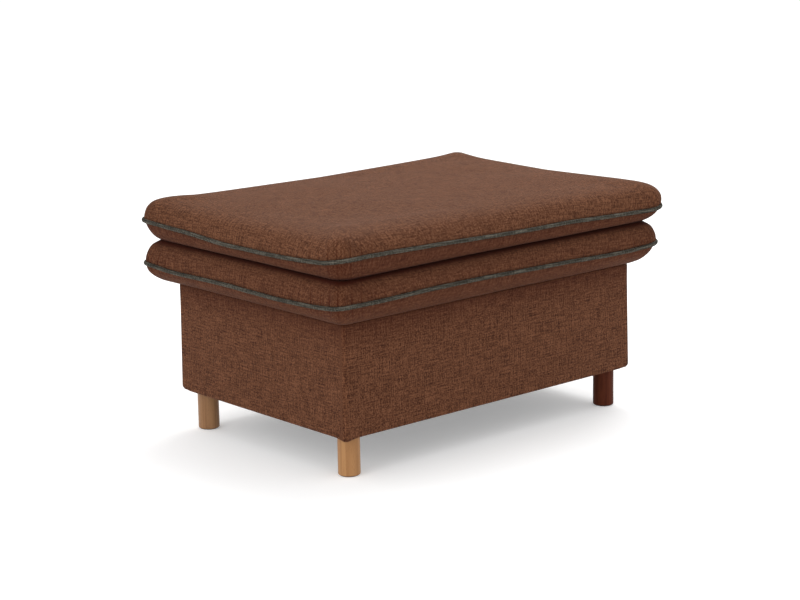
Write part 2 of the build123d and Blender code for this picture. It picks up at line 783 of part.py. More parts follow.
with BuildPart() as lower_flange_cover:
    add(lower["lower_cushion_bottom_cover"])
    centred_block(half_width - lid_flange, half_depth - lid_flange, lid_underside, board_bottom,
                  Mode.SUBTRACT)
    hinge_lid_screws(metal_fit, Mode.SUBTRACT)
lower["lower_cushion_bottom_cover"] = lower_flange_cover.part

for piece_name, piece in {**lower, **upper}.items():
    save(piece, piece_name)

# Tape sewn between the two cushions
with BuildPart() as waist_tape:
    tape_outer = lower_skin_shares[-1][0] * lower_cushion_overhang - waist_tape_inset
    tape_radius = lower_skin_shares[-1][3] * cushion_corner_radius - waist_tape_inset
    with BuildSketch(Plane.XY.offset(cushion_waist)):
        outline(tape_outer, tape_radius, side_draw)
        outline(tape_outer - waist_tape_width, tape_radius - waist_tape_width, side_draw, Mode.SUBTRACT)
    extrude(amount=waist_gap)
save(waist_tape.part, "waist_tape")
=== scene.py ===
# %% [markdown]
# A storage ottoman, dressed around its CAD frame.
# The real one is a cloth box on four short wooden legs, with a hinged lid that carries two stuffed
# cushions, each with a dark piping round its middle. The frame, the hinges and the lid stays come from
# the CAD model. Everything soft is made here, as meshes whose points are worked out with numpy,
# because the shapes follow clear rules: a rounded outline, a side profile, and the pull of a seam.
# %% Frame
import math
import bpy
import numpy as np
from mathutils import Matrix, Vector


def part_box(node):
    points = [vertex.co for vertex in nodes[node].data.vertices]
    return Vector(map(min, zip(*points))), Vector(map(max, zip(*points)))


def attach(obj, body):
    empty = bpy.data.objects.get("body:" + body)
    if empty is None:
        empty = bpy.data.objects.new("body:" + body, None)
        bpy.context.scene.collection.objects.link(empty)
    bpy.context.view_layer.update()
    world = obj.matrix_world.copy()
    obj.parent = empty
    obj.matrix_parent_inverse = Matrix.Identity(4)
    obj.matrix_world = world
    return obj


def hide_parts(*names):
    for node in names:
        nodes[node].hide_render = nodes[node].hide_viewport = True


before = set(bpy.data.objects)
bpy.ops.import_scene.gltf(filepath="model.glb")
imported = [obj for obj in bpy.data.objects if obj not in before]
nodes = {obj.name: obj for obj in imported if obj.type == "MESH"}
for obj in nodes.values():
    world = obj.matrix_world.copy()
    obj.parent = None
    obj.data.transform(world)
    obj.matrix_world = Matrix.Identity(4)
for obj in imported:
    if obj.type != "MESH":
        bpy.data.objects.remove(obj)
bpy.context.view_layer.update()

# %% [markdown]
# The sizes of the frame are read from the CAD nodes, so a cushion sits where the frame says.
# The rest are the sizes of cloth work: seams, stitches, folds. All are in metres.
# %% Sizes
MM = 0.001
box_low, box_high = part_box("base_cover")
half_width, half_depth = box_high.x, box_high.y
rim_top, box_bottom = box_high.z, box_low.z
lower_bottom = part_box("lower_cushion_bottom_cover")[0].z
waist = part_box("upper_cushion_bottom_cover")[0].z
crown_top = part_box("upper_cushion_top_cover")[1].z
cloth = 1 * MM
piping_radius = 3.9 * MM
print("box half size", round(half_width, 4), round(half_depth, 4), "waist", round(waist, 4))

# %% [markdown]
# A camera is a place, a turn and a lens. These come from measuring the corners of the box and the
# legs in the picture: it was taken from the left front, a little above the lid, with a long lens and
# a slight tilt to the right. The turn is given as three axes: right, up, and back to the camera.
# %% Camera


def add_object(name, data):
    """A new object in the scene, made of this data."""
    made = bpy.data.objects.new(name, data)
    bpy.context.scene.collection.objects.link(made)
    return made


camera_place = Vector((-2.7251, -3.1166, 1.1841))
camera_turn, camera_height, camera_roll = math.radians(-40.98), math.radians(12.84), math.radians(-1.09)
camera_lens = 95.42
back_axis = Vector((math.sin(camera_turn) * math.cos(camera_height),
                    -math.cos(camera_turn) * math.cos(camera_height), math.sin(camera_height)))
level_right = (-back_axis).cross(Vector((0, 0, 1))).normalized()
level_up = level_right.cross(-back_axis)
right_axis = level_right * math.cos(camera_roll) + level_up * math.sin(camera_roll)
up_axis = level_up * math.cos(camera_roll) - level_right * math.sin(camera_roll)
camera_data = bpy.data.cameras.new("camera")
camera_data.lens = camera_lens
camera_data.clip_end = 50
camera = add_object("camera", camera_data)
turn = Matrix((right_axis, up_axis, back_axis)).transposed().to_4x4()
camera.matrix_world = Matrix.Translation(camera_place) @ turn
bpy.context.scene.camera = camera

# %% [markdown]
# A product picture has a white floor that melts into a white wall. One curved sheet would do, but a
# large flat floor under a white sky gives the same look and no corner to hide. The floor glows a
# little, as a light table does, so that the shadow under the box stays grey.
# %% Floor and sky
floor_size = 30


def set_inputs(node, values):
    """Sets inputs of a node by name, to numbers or to colours."""
    for label, value in values.items():
        node.inputs[label].default_value = (*value, 1) if isinstance(value, tuple) else value


floor_mesh = bpy.data.meshes.new("floor")
floor_mesh.from_pydata([(-floor_size, -floor_size, 0), (floor_size, -floor_size, 0),
                        (floor_size, floor_size, 0), (-floor_size, floor_size, 0)], [], [(0, 1, 2, 3)])
floor = add_object("studio_floor", floor_mesh)
floor_paint = bpy.data.materials.new("studio white")
floor_paint.use_nodes = True
set_inputs(floor_paint.node_tree.nodes["Principled BSDF"], {
    "Base Color": (0.82, 0.82, 0.82), "Roughness": 0.9, "Specular IOR Level": 0.1,
    "Emission Color": (1, 1, 1), "Emission Strength": 0.27})
floor_mesh.materials.append(floor_paint)
sky = bpy.data.worlds.new("studio sky")
sky.use_nodes = True
set_inputs(sky.node_tree.nodes["Background"], {"Color": (1, 1, 1), "Strength": 1.0})
bpy.context.scene.world = sky
bpy.context.scene.view_settings.view_transform = "Standard"


def soft_light(name, place, target, size, power):
    """A square lamp at place that faces target."""
    data = bpy.data.lights.new(name, "AREA")
    data.size = size
    data.energy = power
    lamp = add_object(name, data)
    lamp.location = place
    lamp.rotation_euler = (Vector(target) - Vector(place)).to_track_quat("-Z", "Y").to_euler()


soft_light("top light", (1.3, 0.6, 3.1), (0, 0, 0.3), 2.2, 60)
soft_light("left light", (-3.4, -0.6, 1.9), (0, 0, 0.3), 2.0, 24)

# %% [markdown]
# Small helpers for meshes. A piece is a list of points and a list of faces. Cloth pieces also carry
# their own flat pattern, in metres, as an attribute on each point: the weave is drawn on that flat
# pattern, so the threads run with the cloth and not with the room.
# %% Mesh helpers
sharp_edge = math.radians(55)


def new_piece(name, points, faces, pattern=None, fold=None):
    """A smooth mesh object, with each point's place on the flat cloth and the shade painted on its colour.
    """
    mesh = bpy.data.meshes.new(name)
    mesh.from_pydata(np.asarray(points).tolist(), [], faces)
    if pattern is not None:
        flat = np.zeros((len(points), 3), np.float32)
        flat[:, :2] = pattern
        places = mesh.attributes.new("cloth_pattern", "FLOAT_VECTOR", "POINT")
        places.data.foreach_set("vector", flat.ravel())
    # Painted shade for each point, kept as an attribute that darkens the cloth's colour.
    if fold is not None:
        shades = mesh.attributes.new("painted_shade_share", "FLOAT", "POINT")
        shades.data.foreach_set("value", np.asarray(fold, np.float32))
    mesh.update()
    mesh.shade_smooth()
    mesh.set_sharp_from_angle(angle=sharp_edge)
    return add_object(name, mesh)


def ring_faces(rows, columns, start=0, closed_rows=False):
    """The quads between rows of points that each go once round."""
    faces = []
    last = rows if closed_rows else rows - 1
    for r in range(last):
        a = start + r * columns
        b = start + ((r + 1) % rows) * columns
        for c in range(columns):
            d = (c + 1) % columns
            faces.append((a + c, a + d, b + d, b + c))
    return faces


def grid_cells(count_x, count_y):
    """The border of a grid of points, going round once, and its square faces."""
    index = np.arange((count_x + 1) * (count_y + 1)).reshape(count_x + 1, count_y + 1)
    border = np.concatenate([index[:-1, 0], index[-1, :-1], index[:0:-1, -1], index[0, :0:-1]])
    cells = [(index[i, j], index[i + 1, j], index[i + 1, j + 1], index[i, j + 1])
             for i in range(count_x) for j in range(count_y)]
    return [int(b) for b in border], [tuple(int(v) for v in face) for face in cells]


def cap(start, count):
    """One face over a ring of points, whose numbers begin at start."""
    return tuple(range(start, start + count))


def flipped(faces):
    """The same faces, turned to look the other way."""
    return [tuple(reversed(face)) for face in faces]


def moved(faces, by):
    """The same faces on points whose numbers are higher by some."""
    return [tuple(v + by for v in face) for face in faces]


def at_height(x, y, z):
    """Points at places x, y that all lie at one height."""
    return np.column_stack([x, y, np.full(len(x), z)])


def wave(position, length, seed, octaves=3):
    """Soft uneven waves from -1 to 1 over points in space, the same each run."""
    rng = np.random.default_rng(seed)
    total = np.zeros(len(position))
    weight = 0
    for octave in range(octaves):
        for _ in range(4):
            direction = rng.normal(size=3)
            direction /= np.linalg.norm(direction)
            turns = 2 * math.pi / (length * rng.uniform(0.8, 1.3)) * 2 ** octave
            total += np.sin(position @ direction * turns + rng.uniform(0, 2 * math.pi)) * 0.5 ** octave
        weight += 1.6 * 0.5 ** octave
    return total / weight / 1.5


def smooth_curve(knots, spacing):
    """Points about evenly spaced along a smooth curve through rows of numbers.

    Between two knots it is a cubic, whose slope at each end looks to both neighbours, the nearer one more.
    """
    knots = np.asarray(knots, float)
    padded_knots = np.vstack([2 * knots[0] - knots[1], knots, 2 * knots[-1] - knots[-2]])
    curve = []
    for i in range(len(knots) - 1):
        p0, p1, p2, p3 = padded_knots[i:i + 4]
        step = np.linalg.norm((p2 - p1)[:2])
        count = max(1, int(round(step / spacing)))
        t = np.arange(count)[:, None] / count
        l0 = max(np.linalg.norm((p1 - p0)[:2]), 1e-6)
        l2 = max(np.linalg.norm((p3 - p2)[:2]), 1e-6)
        m1 = ((p1 - p0) / l0 * step + (p2 - p1) / step * l0) / (l0 + step) * step
        m2 = ((p2 - p1) / step * l2 + (p3 - p2) / l2 * step) / (l2 + step) * step
        curve.append((2 * t ** 3 - 3 * t ** 2 + 1) * p1 + (t ** 3 - 2 * t ** 2 + t) * m1
                     + (-2 * t ** 3 + 3 * t ** 2) * p2 + (t ** 3 - t ** 2) * m2)
    curve.append(knots[-1:])
    return np.vstack(curve)


def run_length(line):
    """How far along a line each of its points lies."""
    return np.concatenate([[0], np.cumsum(np.linalg.norm(np.diff(line, axis=0), axis=1))])


def closed_tube(line, radius, sides):
    """Points, faces and flat pattern of a tube round a closed line.

    radius is one number, or one for each side and point.
    """
    ahead = np.roll(line, -1, 0) - np.roll(line, 1, 0)
    ahead /= np.linalg.norm(ahead, axis=1)[:, None]
    side = np.cross(ahead, np.array([0, 0, 1.0]))
    side /= np.linalg.norm(side, axis=1)[:, None]
    up = np.cross(side, ahead)
    length = run_length(line)
    radius = np.broadcast_to(radius, (sides, len(line)))
    tube, flat = [], []
    for k in range(sides):
        angle = 2 * math.pi * k / sides
        tube.append(line + side * (np.cos(angle) * radius[k])[:, None]
                    + up * (np.sin(angle) * radius[k])[:, None])
        flat.append(np.stack([length, np.full(len(line), angle * float(radius.mean()))], 1))
    return np.vstack(tube), ring_faces(sides, len(line), closed_rows=True), np.vstack(flat)


# %% [markdown]
# Materials are built from node groups, and joining nodes by hand takes many lines. These helpers add
# and join a node in one short call, and start a group or a material that is fed by one.
# %% Node helpers


class Wiring:
    """Adds nodes to a tree and joins them, one short call each."""

    def __init__(self, tree):
        self.tree = tree

    def node(self, kind, **values):
        made = self.tree.nodes.new(kind)
        for key, value in values.items():
            setattr(made, key, value)
        return made

    def feed(self, socket, value):
        """Joins another node's output to an input, or sets the input to a plain value."""
        if isinstance(value, bpy.types.NodeSocket):
            self.tree.links.new(value, socket)
        elif value is not None:
            socket.default_value = value

    def fed(self, made, values):
        """Feeds a node's inputs in their order and gives back its output."""
        for socket, value in zip(made.inputs, values):
            self.feed(socket, value)
        return made.outputs[0]

    def math(self, operation, a, b=None, c=None):
        return self.fed(self.node("ShaderNodeMath", operation=operation), (a, b, c))

    def plus(self, a, b):
        return self.math("ADD", a, b)

    def minus(self, a, b):
        return self.math("SUBTRACT", a, b)

    def times(self, a, b):
        return self.math("MULTIPLY", a, b)

    def over(self, a, b):
        return self.math("DIVIDE", a, b)

    def span(self, value, low, high, out_low=0.0, out_high=1.0):
        """Smoothly takes values between low and high to values between two others."""
        made = self.node("ShaderNodeMapRange", interpolation_type="SMOOTHSTEP")
        return self.fed(made, (value, low, high, out_low, out_high))

    def vector(self, x, y, z=0.0):
        return self.fed(self.node("ShaderNodeCombineXYZ"), (x, y, z))

    def parts(self, vector):
        made = self.node("ShaderNodeSeparateXYZ")
        self.feed(made.inputs[0], vector)
        return made.outputs

    def scaled(self, vector, factors):
        return self.fed(self.node("ShaderNodeVectorMath", operation="MULTIPLY"), (vector, factors))

    def mix(self, share, a, b, blend="MIX"):
        """Two colours mixed, with share for how much of the second."""
        made = self.node("ShaderNodeMix", data_type="RGBA", blend_type=blend)
        for place, value in ((0, share), (6, a), (7, b)):
            self.feed(made.inputs[place], value)
        return made.outputs[2]

    def pick(self, share, a, b):
        """The first number where share is 0, and the second where it is 1."""
        made = self.node("ShaderNodeMix", data_type="FLOAT")
        for place, value in ((0, share), (2, a), (3, b)):
            self.feed(made.inputs[place], value)
        return made.outputs[0]

    def noise(self, vector, scale, detail, roughness, dimensions="3D"):
        made = self.node("ShaderNodeTexNoise", noise_dimensions=dimensions)
        values = {"Vector": vector, "Scale": scale, "Detail": detail, "Roughness": roughness}
        for label, value in values.items():
            self.feed(made.inputs[label], value)
        return made.outputs["Fac"]

    def flat_noise(self, across, along, spots_across, spots_along):
        """Noise on the flat cloth, with its own number of spots in a metre each way."""
        place_across = self.times(across, spots_across)
        place_along = self.times(along, spots_along)
        return self.noise(self.vector(place_across, place_along), 1.0, 1.0, 0.5, "2D")


def start_group(name, inputs):
    """A node group that turns its inputs into a colour, a height and a roughness.

    inputs holds each one's default: None for a place, else a number or a colour.
    """
    group = bpy.data.node_groups.new(name, "ShaderNodeTree")
    for label, default in inputs.items():
        kind = "Vector" if default is None else "Color" if isinstance(default, tuple) else "Float"
        socket = group.interface.new_socket(name=label, in_out="INPUT", socket_type=f"NodeSocket{kind}")
        if default is not None:
            socket.default_value = (*default, 1) if kind == "Color" else default
    for label, kind in (("Color", "Color"), ("Height", "Float"), ("Roughness", "Float")):
        group.interface.new_socket(name=label, in_out="OUTPUT", socket_type=f"NodeSocket{kind}")
    w = Wiring(group)
    given = {socket.name: socket for socket in w.node("NodeGroupInput").outputs}
    return group, w, given, w.node("NodeGroupOutput").inputs


def start_material(name, group, relief, strength):
    """A material whose colour, roughness and bumps come from a group. relief is the bumps' height."""
    material = bpy.data.materials.new(name)
    material.use_nodes = True
    w = Wiring(material.node_tree)
    shader = material.node_tree.nodes["Principled BSDF"]
    source = w.node("ShaderNodeGroup", node_tree=group)
    bump = w.node("ShaderNodeBump")
    set_inputs(bump, {"Strength": strength, "Distance": relief})
    w.feed(bump.inputs["Height"], source.outputs["Height"])
    w.feed(shader.inputs["Base Color"], source.outputs["Color"])
    w.feed(shader.inputs["Roughness"], source.outputs["Roughness"])
    w.feed(shader.inputs["Normal"], bump.outputs[0])
    return material, w, shader, source


# %% [markdown]
# Cloth is colour, tiny relief and roughness that change from thread to thread. One node group makes
# them for every cloth on the piece, from the flat pattern. It begins with a plain weave, where the
# thread on top at each crossing gives the height. Then comes what makes a yarn look natural: fine
# specks, wider clumps, and long thin lines where one thread is darker or paler than its neighbours.
# Last, painted shade mixes in a dark shade colour, for deep places that hardly any light reaches.
# %% Weave node group
weave, w, given, results = start_group("woven cloth", {
    "Pattern": None, "Thread Pitch": 0.0013, "Slub": 0.5, "Speck": 0.40, "Clump": 0.13, "Lines": 0.27,
    "Fold": 0.0, "Painted Shade Colour": (0.040, 0.006, 0.002), "Deep": (0.05, 0.02, 0.01), "Middle": (0.15, 0.07, 0.04),
    "Light": (0.22, 0.11, 0.07)})
across, along = w.parts(given["Pattern"])[:2]
thread_across = w.over(across, given["Thread Pitch"])
thread_along = w.over(along, given["Thread Pitch"])
warp_index = w.math("FLOOR", thread_across)
weft_index = w.math("FLOOR", thread_along)
weft_on_top = w.math("ABSOLUTE", w.math("MODULO", w.plus(warp_index, weft_index), 2.0))
warp_round = w.math("SINE", w.times(w.math("FRACT", thread_across), math.pi))
weft_round = w.math("SINE", w.times(w.math("FRACT", thread_along), math.pi))
warp_height = w.times(warp_round, w.plus(0.55, w.times(weft_round, 0.45)))
weft_height = w.times(weft_round, w.plus(0.55, w.times(warp_round, 0.45)))
thread_relief = w.pick(weft_on_top, warp_height, weft_height)
thread_shade = w.pick(weft_on_top, w.flat_noise(warp_index, along, 7.31, 45.0),
                      w.flat_noise(across, weft_index, 45.0, 5.77))

# What the yarn adds: the specks, the clumps and the lines, each weighed by its own input.
upright = w.flat_noise(across, along, 520.0, 26.0)
level = w.flat_noise(across, along, 26.0, 520.0)
speck = w.flat_noise(across, along, 400.0, 270.0)
clump = w.noise(given["Pattern"], 165.0, 1.0, 0.5)
mottle = w.math("MULTIPLY_ADD", w.minus(speck, 0.5), given["Speck"], 0.5)
mottle = w.math("MULTIPLY_ADD", w.minus(clump, 0.5), given["Clump"], mottle)
lines = w.minus(w.plus(upright, level), 1.0)
mottle = w.math("MULTIPLY_ADD", lines, given["Lines"], mottle)
slub = w.times(w.span(mottle, 0.50, 0.61), given["Slub"])
pale = w.times(w.span(mottle, 0.49, 0.38), given["Slub"])

# The colours: dark slubs, pale stretches, a tone for each thread, and painted shade in the gaps
# between the threads with painted light on their tops.
patch = w.noise(given["Pattern"], 9.0, 3.0, 0.55)
shade = w.plus(w.times(thread_shade, 0.75), w.times(patch, 0.25))
tone = w.span(shade, 0.25, 0.75)
yarn = w.mix(w.minus(1.0, slub), given["Deep"], given["Middle"])
yarn = w.mix(w.plus(w.times(tone, 0.35), pale), yarn, given["Light"])
# Painted shade in the gaps between the threads, and painted light on their tops.
painted_thread_shading = w.span(thread_relief, 0.1, 0.9, 0.52, 1.24)
grey = w.fed(w.node("ShaderNodeCombineColor"), (painted_thread_shading, painted_thread_shading, painted_thread_shading))
yarn_with_thread_shading = w.mix(1.0, yarn, grey, "MULTIPLY")
# Painted shade: where a piece asks for it, the colour is mixed towards a dark painted shade colour.
w.feed(results["Color"], w.mix(given["Fold"], yarn_with_thread_shading, given["Painted Shade Colour"]))
w.feed(results["Height"], w.plus(thread_relief, w.times(slub, 0.5)))
w.feed(results["Roughness"], w.span(thread_relief, 0.0, 1.0, 0.95, 0.8))

# %% [markdown]
# A cloth material places the weave group between the flat pattern and a Principled shader. Sheen is
# the pale bloom of loose fibres at a grazing angle, and it is a plain number on the shader.
# %% Cloth materials
thread_bump = 0.3 * MM


def cloth_material(name, deep, middle, light, slub, pitch=1.3 * MM, sheen=0.03, mottle=None):
    """A woven cloth with its own shades and thread size. mottle sets its specks, clumps and lines."""
    material, w, shader, threads = start_material(name, weave, thread_bump, 0.6)
    # Each cloth reads its flat pattern and the painted shade of its points.
    for label, stored, output in (("Pattern", "cloth_pattern", "Vector"), ("Fold", "painted_shade_share", "Fac")):
        source = w.node("ShaderNodeAttribute", attribute_name=stored)
        w.feed(threads.inputs[label], source.outputs[output])
    set_inputs(threads, {"Thread Pitch": pitch, "Slub": slub, "Deep": deep, "Middle": middle,
                         "Light": light, **(mottle or {})})
    set_inputs(shader, {"Specular IOR Level": 0.07, "Sheen Weight": sheen, "Sheen Roughness": 0.4,
                        "Sheen Tint": (1.0, 0.86, 0.74)})
    return material


cushion_cloth = cloth_material("brown cushion cloth", (0.026, 0.007, 0.003), (0.100, 0.038, 0.018),
                               (0.175, 0.073, 0.037), slub=0.85,
                               mottle={"Speck": 0.40, "Clump": 0.22, "Lines": 0.27})
base_cloth = cloth_material("brown box cloth", (0.024, 0.006, 0.003), (0.098, 0.036, 0.017),
                            (0.175, 0.072, 0.037), slub=1.0)
piping_cloth = cloth_material("dark piping cloth", (0.008, 0.0075, 0.0055), (0.028, 0.026, 0.020),
                              (0.122, 0.111, 0.089), slub=1.0, pitch=0.8 * MM, sheen=0.02,
                              mottle={"Speck": 0.10, "Clump": 0.12, "Lines": 0.60})
lining_cloth = cloth_material("grey lining cloth", (0.05, 0.048, 0.045), (0.12, 0.115, 0.108),
                              (0.17, 0.165, 0.155), slub=0.2, pitch=0.7 * MM, sheen=0.1)
dust_cloth = cloth_material("black dust cloth", (0.010, 0.010, 0.011), (0.022, 0.022, 0.024),
                            (0.045, 0.045, 0.047), slub=0.4, pitch=0.9 * MM, sheen=0.1)
thread = cloth_material("brown sewing thread", (0.045, 0.017, 0.009), (0.090, 0.036, 0.019),
                        (0.140, 0.062, 0.034), slub=0.1, pitch=0.5 * MM)

# %% [markdown]
# Wood is early and late growth in turn. The group cuts through a log whose heart lies off to one side,
# so a leg shows near-straight lines that run with its length, then adds fibres and fine dark pores.
# The place is the point on the object itself, so each leg shows another part of the log.
# %% Wood node group
wood, w, given, results = start_group("wood grain", {
    "Place": None, "Ring Width": 0.0035, "Early": (0.42, 0.23, 0.10), "Late": (0.30, 0.15, 0.06),
    "Pore": (0.16, 0.07, 0.03)})
x, y, z = w.parts(given["Place"])
wander = w.noise(w.scaled(given["Place"], (22, 22, 5)), 1.0, 2.0, 0.5)
off_x = w.plus(x, w.times(wander, 0.016))
off_y = w.plus(y, 0.9)
squares = w.plus(w.times(off_x, off_x), w.times(off_y, off_y))
from_heart = w.plus(w.math("SQRT", squares), w.times(off_x, 0.8))
ring_place = w.over(from_heart, given["Ring Width"])
rings = w.noise(w.vector(ring_place, w.times(z, 3.0)), 1.0, 1.5, 0.5, "2D")
fibres = w.noise(w.scaled(given["Place"], (1300, 1300, 45)), 1.0, 2.0, 0.6)
pores = w.noise(w.scaled(given["Place"], (1900, 1900, 110)), 1.0, 1.0, 0.5)
late_share = w.plus(w.times(w.span(rings, 0.38, 0.66), 0.8), w.times(fibres, 0.3))
grown = w.mix(late_share, given["Early"], given["Late"])
pore_share = w.times(w.span(pores, 0.62, 0.75), 0.7)
w.feed(results["Color"], w.mix(pore_share, grown, given["Pore"]))
w.feed(results["Height"], w.minus(w.times(fibres, 0.4), pore_share))
w.feed(results["Roughness"], w.span(w.plus(rings, pore_share), 0.3, 1.2, 0.42, 0.62))

# %% [markdown]
# Plated steel is nearly even, with a faint cloud of plating, hair scratches along its length and small
# dull spots where hands and screws have rubbed it.
# %% Metal node group
metal, w, given, results = start_group("plated steel", {
    "Place": None, "Plate": (0.56, 0.57, 0.59), "Dull": (0.32, 0.32, 0.33)})
cloud = w.noise(given["Place"], 90.0, 3.0, 0.6)
scratches = w.noise(w.scaled(given["Place"], (1600, 70, 1600)), 1.0, 2.0, 0.5)
spots = w.span(w.noise(given["Place"], 210.0, 2.0, 0.5), 0.58, 0.70)
dullness = w.plus(w.times(cloud, 0.35), w.times(spots, 0.5))
w.feed(results["Color"], w.mix(dullness, given["Plate"], given["Dull"]))
w.feed(results["Height"], scratches)
w.feed(results["Roughness"], w.plus(w.times(scratches, 0.25), w.span(dullness, 0.0, 0.8, 0.2, 0.45)))

# %% [markdown]
# Felt, wadding and foam have no threads, only pressed fibres or cells, so their colour and height come
# from a fine noise alone.
# %% Pressed fibre node group
fibre, w, given, results = start_group("pressed fibre", {
    "Place": None, "Grain": 900.0, "Deep": (0.04, 0.04, 0.04), "Light": (0.12, 0.12, 0.12)})
hairs = w.noise(given["Place"], given["Grain"], 4.0, 0.7)
clumps = w.noise(given["Place"], 60.0, 2.0, 0.5)
hair_share = w.span(w.plus(w.times(hairs, 0.8), w.times(clumps, 0.2)), 0.35, 0.65)
w.feed(results["Color"], w.mix(hair_share, given["Deep"], given["Light"]))
w.feed(results["Height"], hairs)
w.feed(results["Roughness"], w.span(hairs, 0.3, 0.7, 1.0, 0.85))

# %% [markdown]
# One function joins any of these three groups to a Principled shader. The colours are what differs
# from material to material; metal, specular and coat are plain numbers on the shader. One light leg
# gets a darker copy of the light wood, as painted shade for the shade it stands in.
# %% Hard materials


def solid_material(name, group, inputs, relief, specular, metallic=0.0, coat=0.0):
    """A material made by a group from the place on the object."""
    material, w, shader, source = start_material(name, group, relief, 0.5)
    w.feed(source.inputs["Place"], w.node("ShaderNodeTexCoord").outputs["Object"])
    set_inputs(source, inputs)
    set_inputs(shader, {"Metallic": metallic, "Specular IOR Level": specular, "Coat Weight": coat,
                        "Coat Roughness": 0.35})
    return material


light_wood = solid_material("light lacquered wood", wood, {
    "Early": (0.42, 0.215, 0.082), "Late": (0.31, 0.145, 0.050), "Pore": (0.17, 0.070, 0.024)},
    0.05 * MM, specular=0.25, coat=0.08)
# A darker copy of the light wood, as painted shade for one leg.
light_wood_painted_shade = solid_material("light wood with painted shade", wood, {
    "Early": (0.30, 0.155, 0.066), "Late": (0.22, 0.105, 0.042), "Pore": (0.12, 0.050, 0.018)},
    0.05 * MM, specular=0.25, coat=0.08)
dark_wood = solid_material("dark stained wood", wood, {
    "Early": (0.086, 0.020, 0.008), "Late": (0.056, 0.012, 0.005), "Pore": (0.020, 0.005, 0.002)},
    0.05 * MM, specular=0.06)
plywood = solid_material("birch plywood", wood, {
    "Early": (0.55, 0.40, 0.24), "Late": (0.44, 0.29, 0.16), "Pore": (0.25, 0.14, 0.07),
    "Ring Width": 0.009},
    0.08 * MM, specular=0.2)
zinc_steel = solid_material("zinc plated steel", metal, {
    "Plate": (0.60, 0.61, 0.63), "Dull": (0.34, 0.34, 0.36)}, 0.02 * MM, metallic=1.0, specular=0.5)
hinge_steel = solid_material("nickel plated steel", metal, {
    "Plate": (0.40, 0.385, 0.355), "Dull": (0.20, 0.19, 0.17)}, 0.02 * MM, metallic=1.0, specular=0.5)
felt = solid_material("grey felt", fibre, {"Deep": (0.05, 0.047, 0.043), "Light": (0.15, 0.14, 0.13)},
                      0.3 * MM, specular=0.05)
own_materials = {"plywood": plywood, "light_wood": light_wood, "dark_wood": dark_wood,
                 "zinc_steel": zinc_steel, "hinge_steel": hinge_steel, "felt": felt}
# The back left leg takes the painted shade copy of the light wood.
painted_shade_leg = "leg_back_left"
for name, part in nodes.items():
    for place in part.material_slots:
        finish = own_materials.get(place.material.name.split(".")[0])
        if name == painted_shade_leg:
            finish = light_wood_painted_shade
        if finish:
            place.material = finish
print("hard parts with their own finish", sum(bool(part.material_slots) for part in nodes.values()))

# %% [markdown]
# Every cushion is round-cornered in plan, and its long sides are drawn in a little between the
# corners, as a stuffed cover does. This maps the unit square to that outline, so the same rule gives
# the rim of the cushion and the grid that fills its top.
# %% Cushion outline
side_draw = 5 * MM


def rounded(s, t, half_x, half_y, radius, draw):
    """Points of a drawn-in rounded rectangle for places s, t from -1 to 1."""
    x, y = s * half_x, t * half_y
    a = np.clip((np.abs(x) - (half_x - radius)) / radius, 0, 1)
    b = np.clip((np.abs(y) - (half_y - radius)) / radius, 0, 1)
    x = np.where(a > 0, np.sign(x) * (half_x - radius + radius * a * np.sqrt(1 - b * b / 2)), x)
    y = np.where(b > 0, np.sign(y) * (half_y - radius + radius * b * np.sqrt(1 - a * a / 2)), y)
    draw_x = draw * half_y / half_x
    return (x * (1 - draw_x / half_x * (1 - (y / half_y) ** 2)),
            y * (1 - draw / half_y * (1 - (x / half_x) ** 2)))


def rim_places(cells_x, cells_y):
    """Where the border of a grid of cells lies on the unit square, going round once."""
    i = np.arange(cells_x)
    j = np.arange(cells_y)
    s = np.concatenate([-1 + 2 * i / cells_x, np.ones(cells_y), 1 - 2 * i / cells_x, -np.ones(cells_y)])
    t = np.concatenate([-np.ones(cells_x), -1 + 2 * j / cells_y, np.ones(cells_x), 1 - 2 * j / cells_y])
    return s, t


# %% [markdown]
# The seam with the piping isn't level: the stuffing pushes it up at the corners and it sags between.
# These are the heights of both seams round the cushion, as seen in the picture on the two near sides
# and guessed alike on the far ones, joined by a smooth closed curve.
# %% Seam heights
smoothing_rounds = 90
seam_heights_mm = {
    "upper": [(0.014, 426), (0.086, 427), (0.158, 426), (0.23, 424), (0.301, 423), (0.373, 421),
              (0.445, 419), (0.516, 417.5), (0.588, 417), (0.66, 417.5), (0.731, 415.5), (0.803, 413.5),
              (0.875, 412), (0.95, 410), (1.03, 417), (1.12, 419), (1.50, 409), (1.85, 415),
              (2.00, 421), (2.15, 418), (2.50, 412), (2.85, 419),
              (3.00, 425), (3.107, 422.6), (3.174, 420.8), (3.241, 419.6), (3.308, 417.6), (3.375, 414.6),
              (3.442, 412.4), (3.51, 412), (3.577, 412.5), (3.644, 412), (3.711, 412.8), (3.778, 414),
              (3.845, 416.3), (3.913, 419), (3.97, 422.5)],
    "lower": [(0.012, 341), (0.085, 340.2), (0.157, 340.5), (0.23, 341.8), (0.303, 342.3), (0.375, 342.2),
              (0.448, 341.6), (0.521, 340), (0.593, 339), (0.666, 338.5), (0.739, 336.8), (0.811, 335.4),
              (0.884, 335), (0.957, 338), (1.03, 342), (1.20, 336), (1.50, 332), (1.80, 335), (2.00, 340),
              (2.20, 337), (2.50, 335), (2.80, 337), (3.00, 338.5), (3.06, 336.3), (3.13, 333),
              (3.20, 332.2), (3.27, 332.8), (3.34, 333.3), (3.41, 333.6), (3.48, 333.6), (3.55, 332.3),
              (3.621, 332),
              (3.691, 331), (3.761, 331.9), (3.831, 333.1), (3.901, 335.3), (3.96, 338.6)],
}


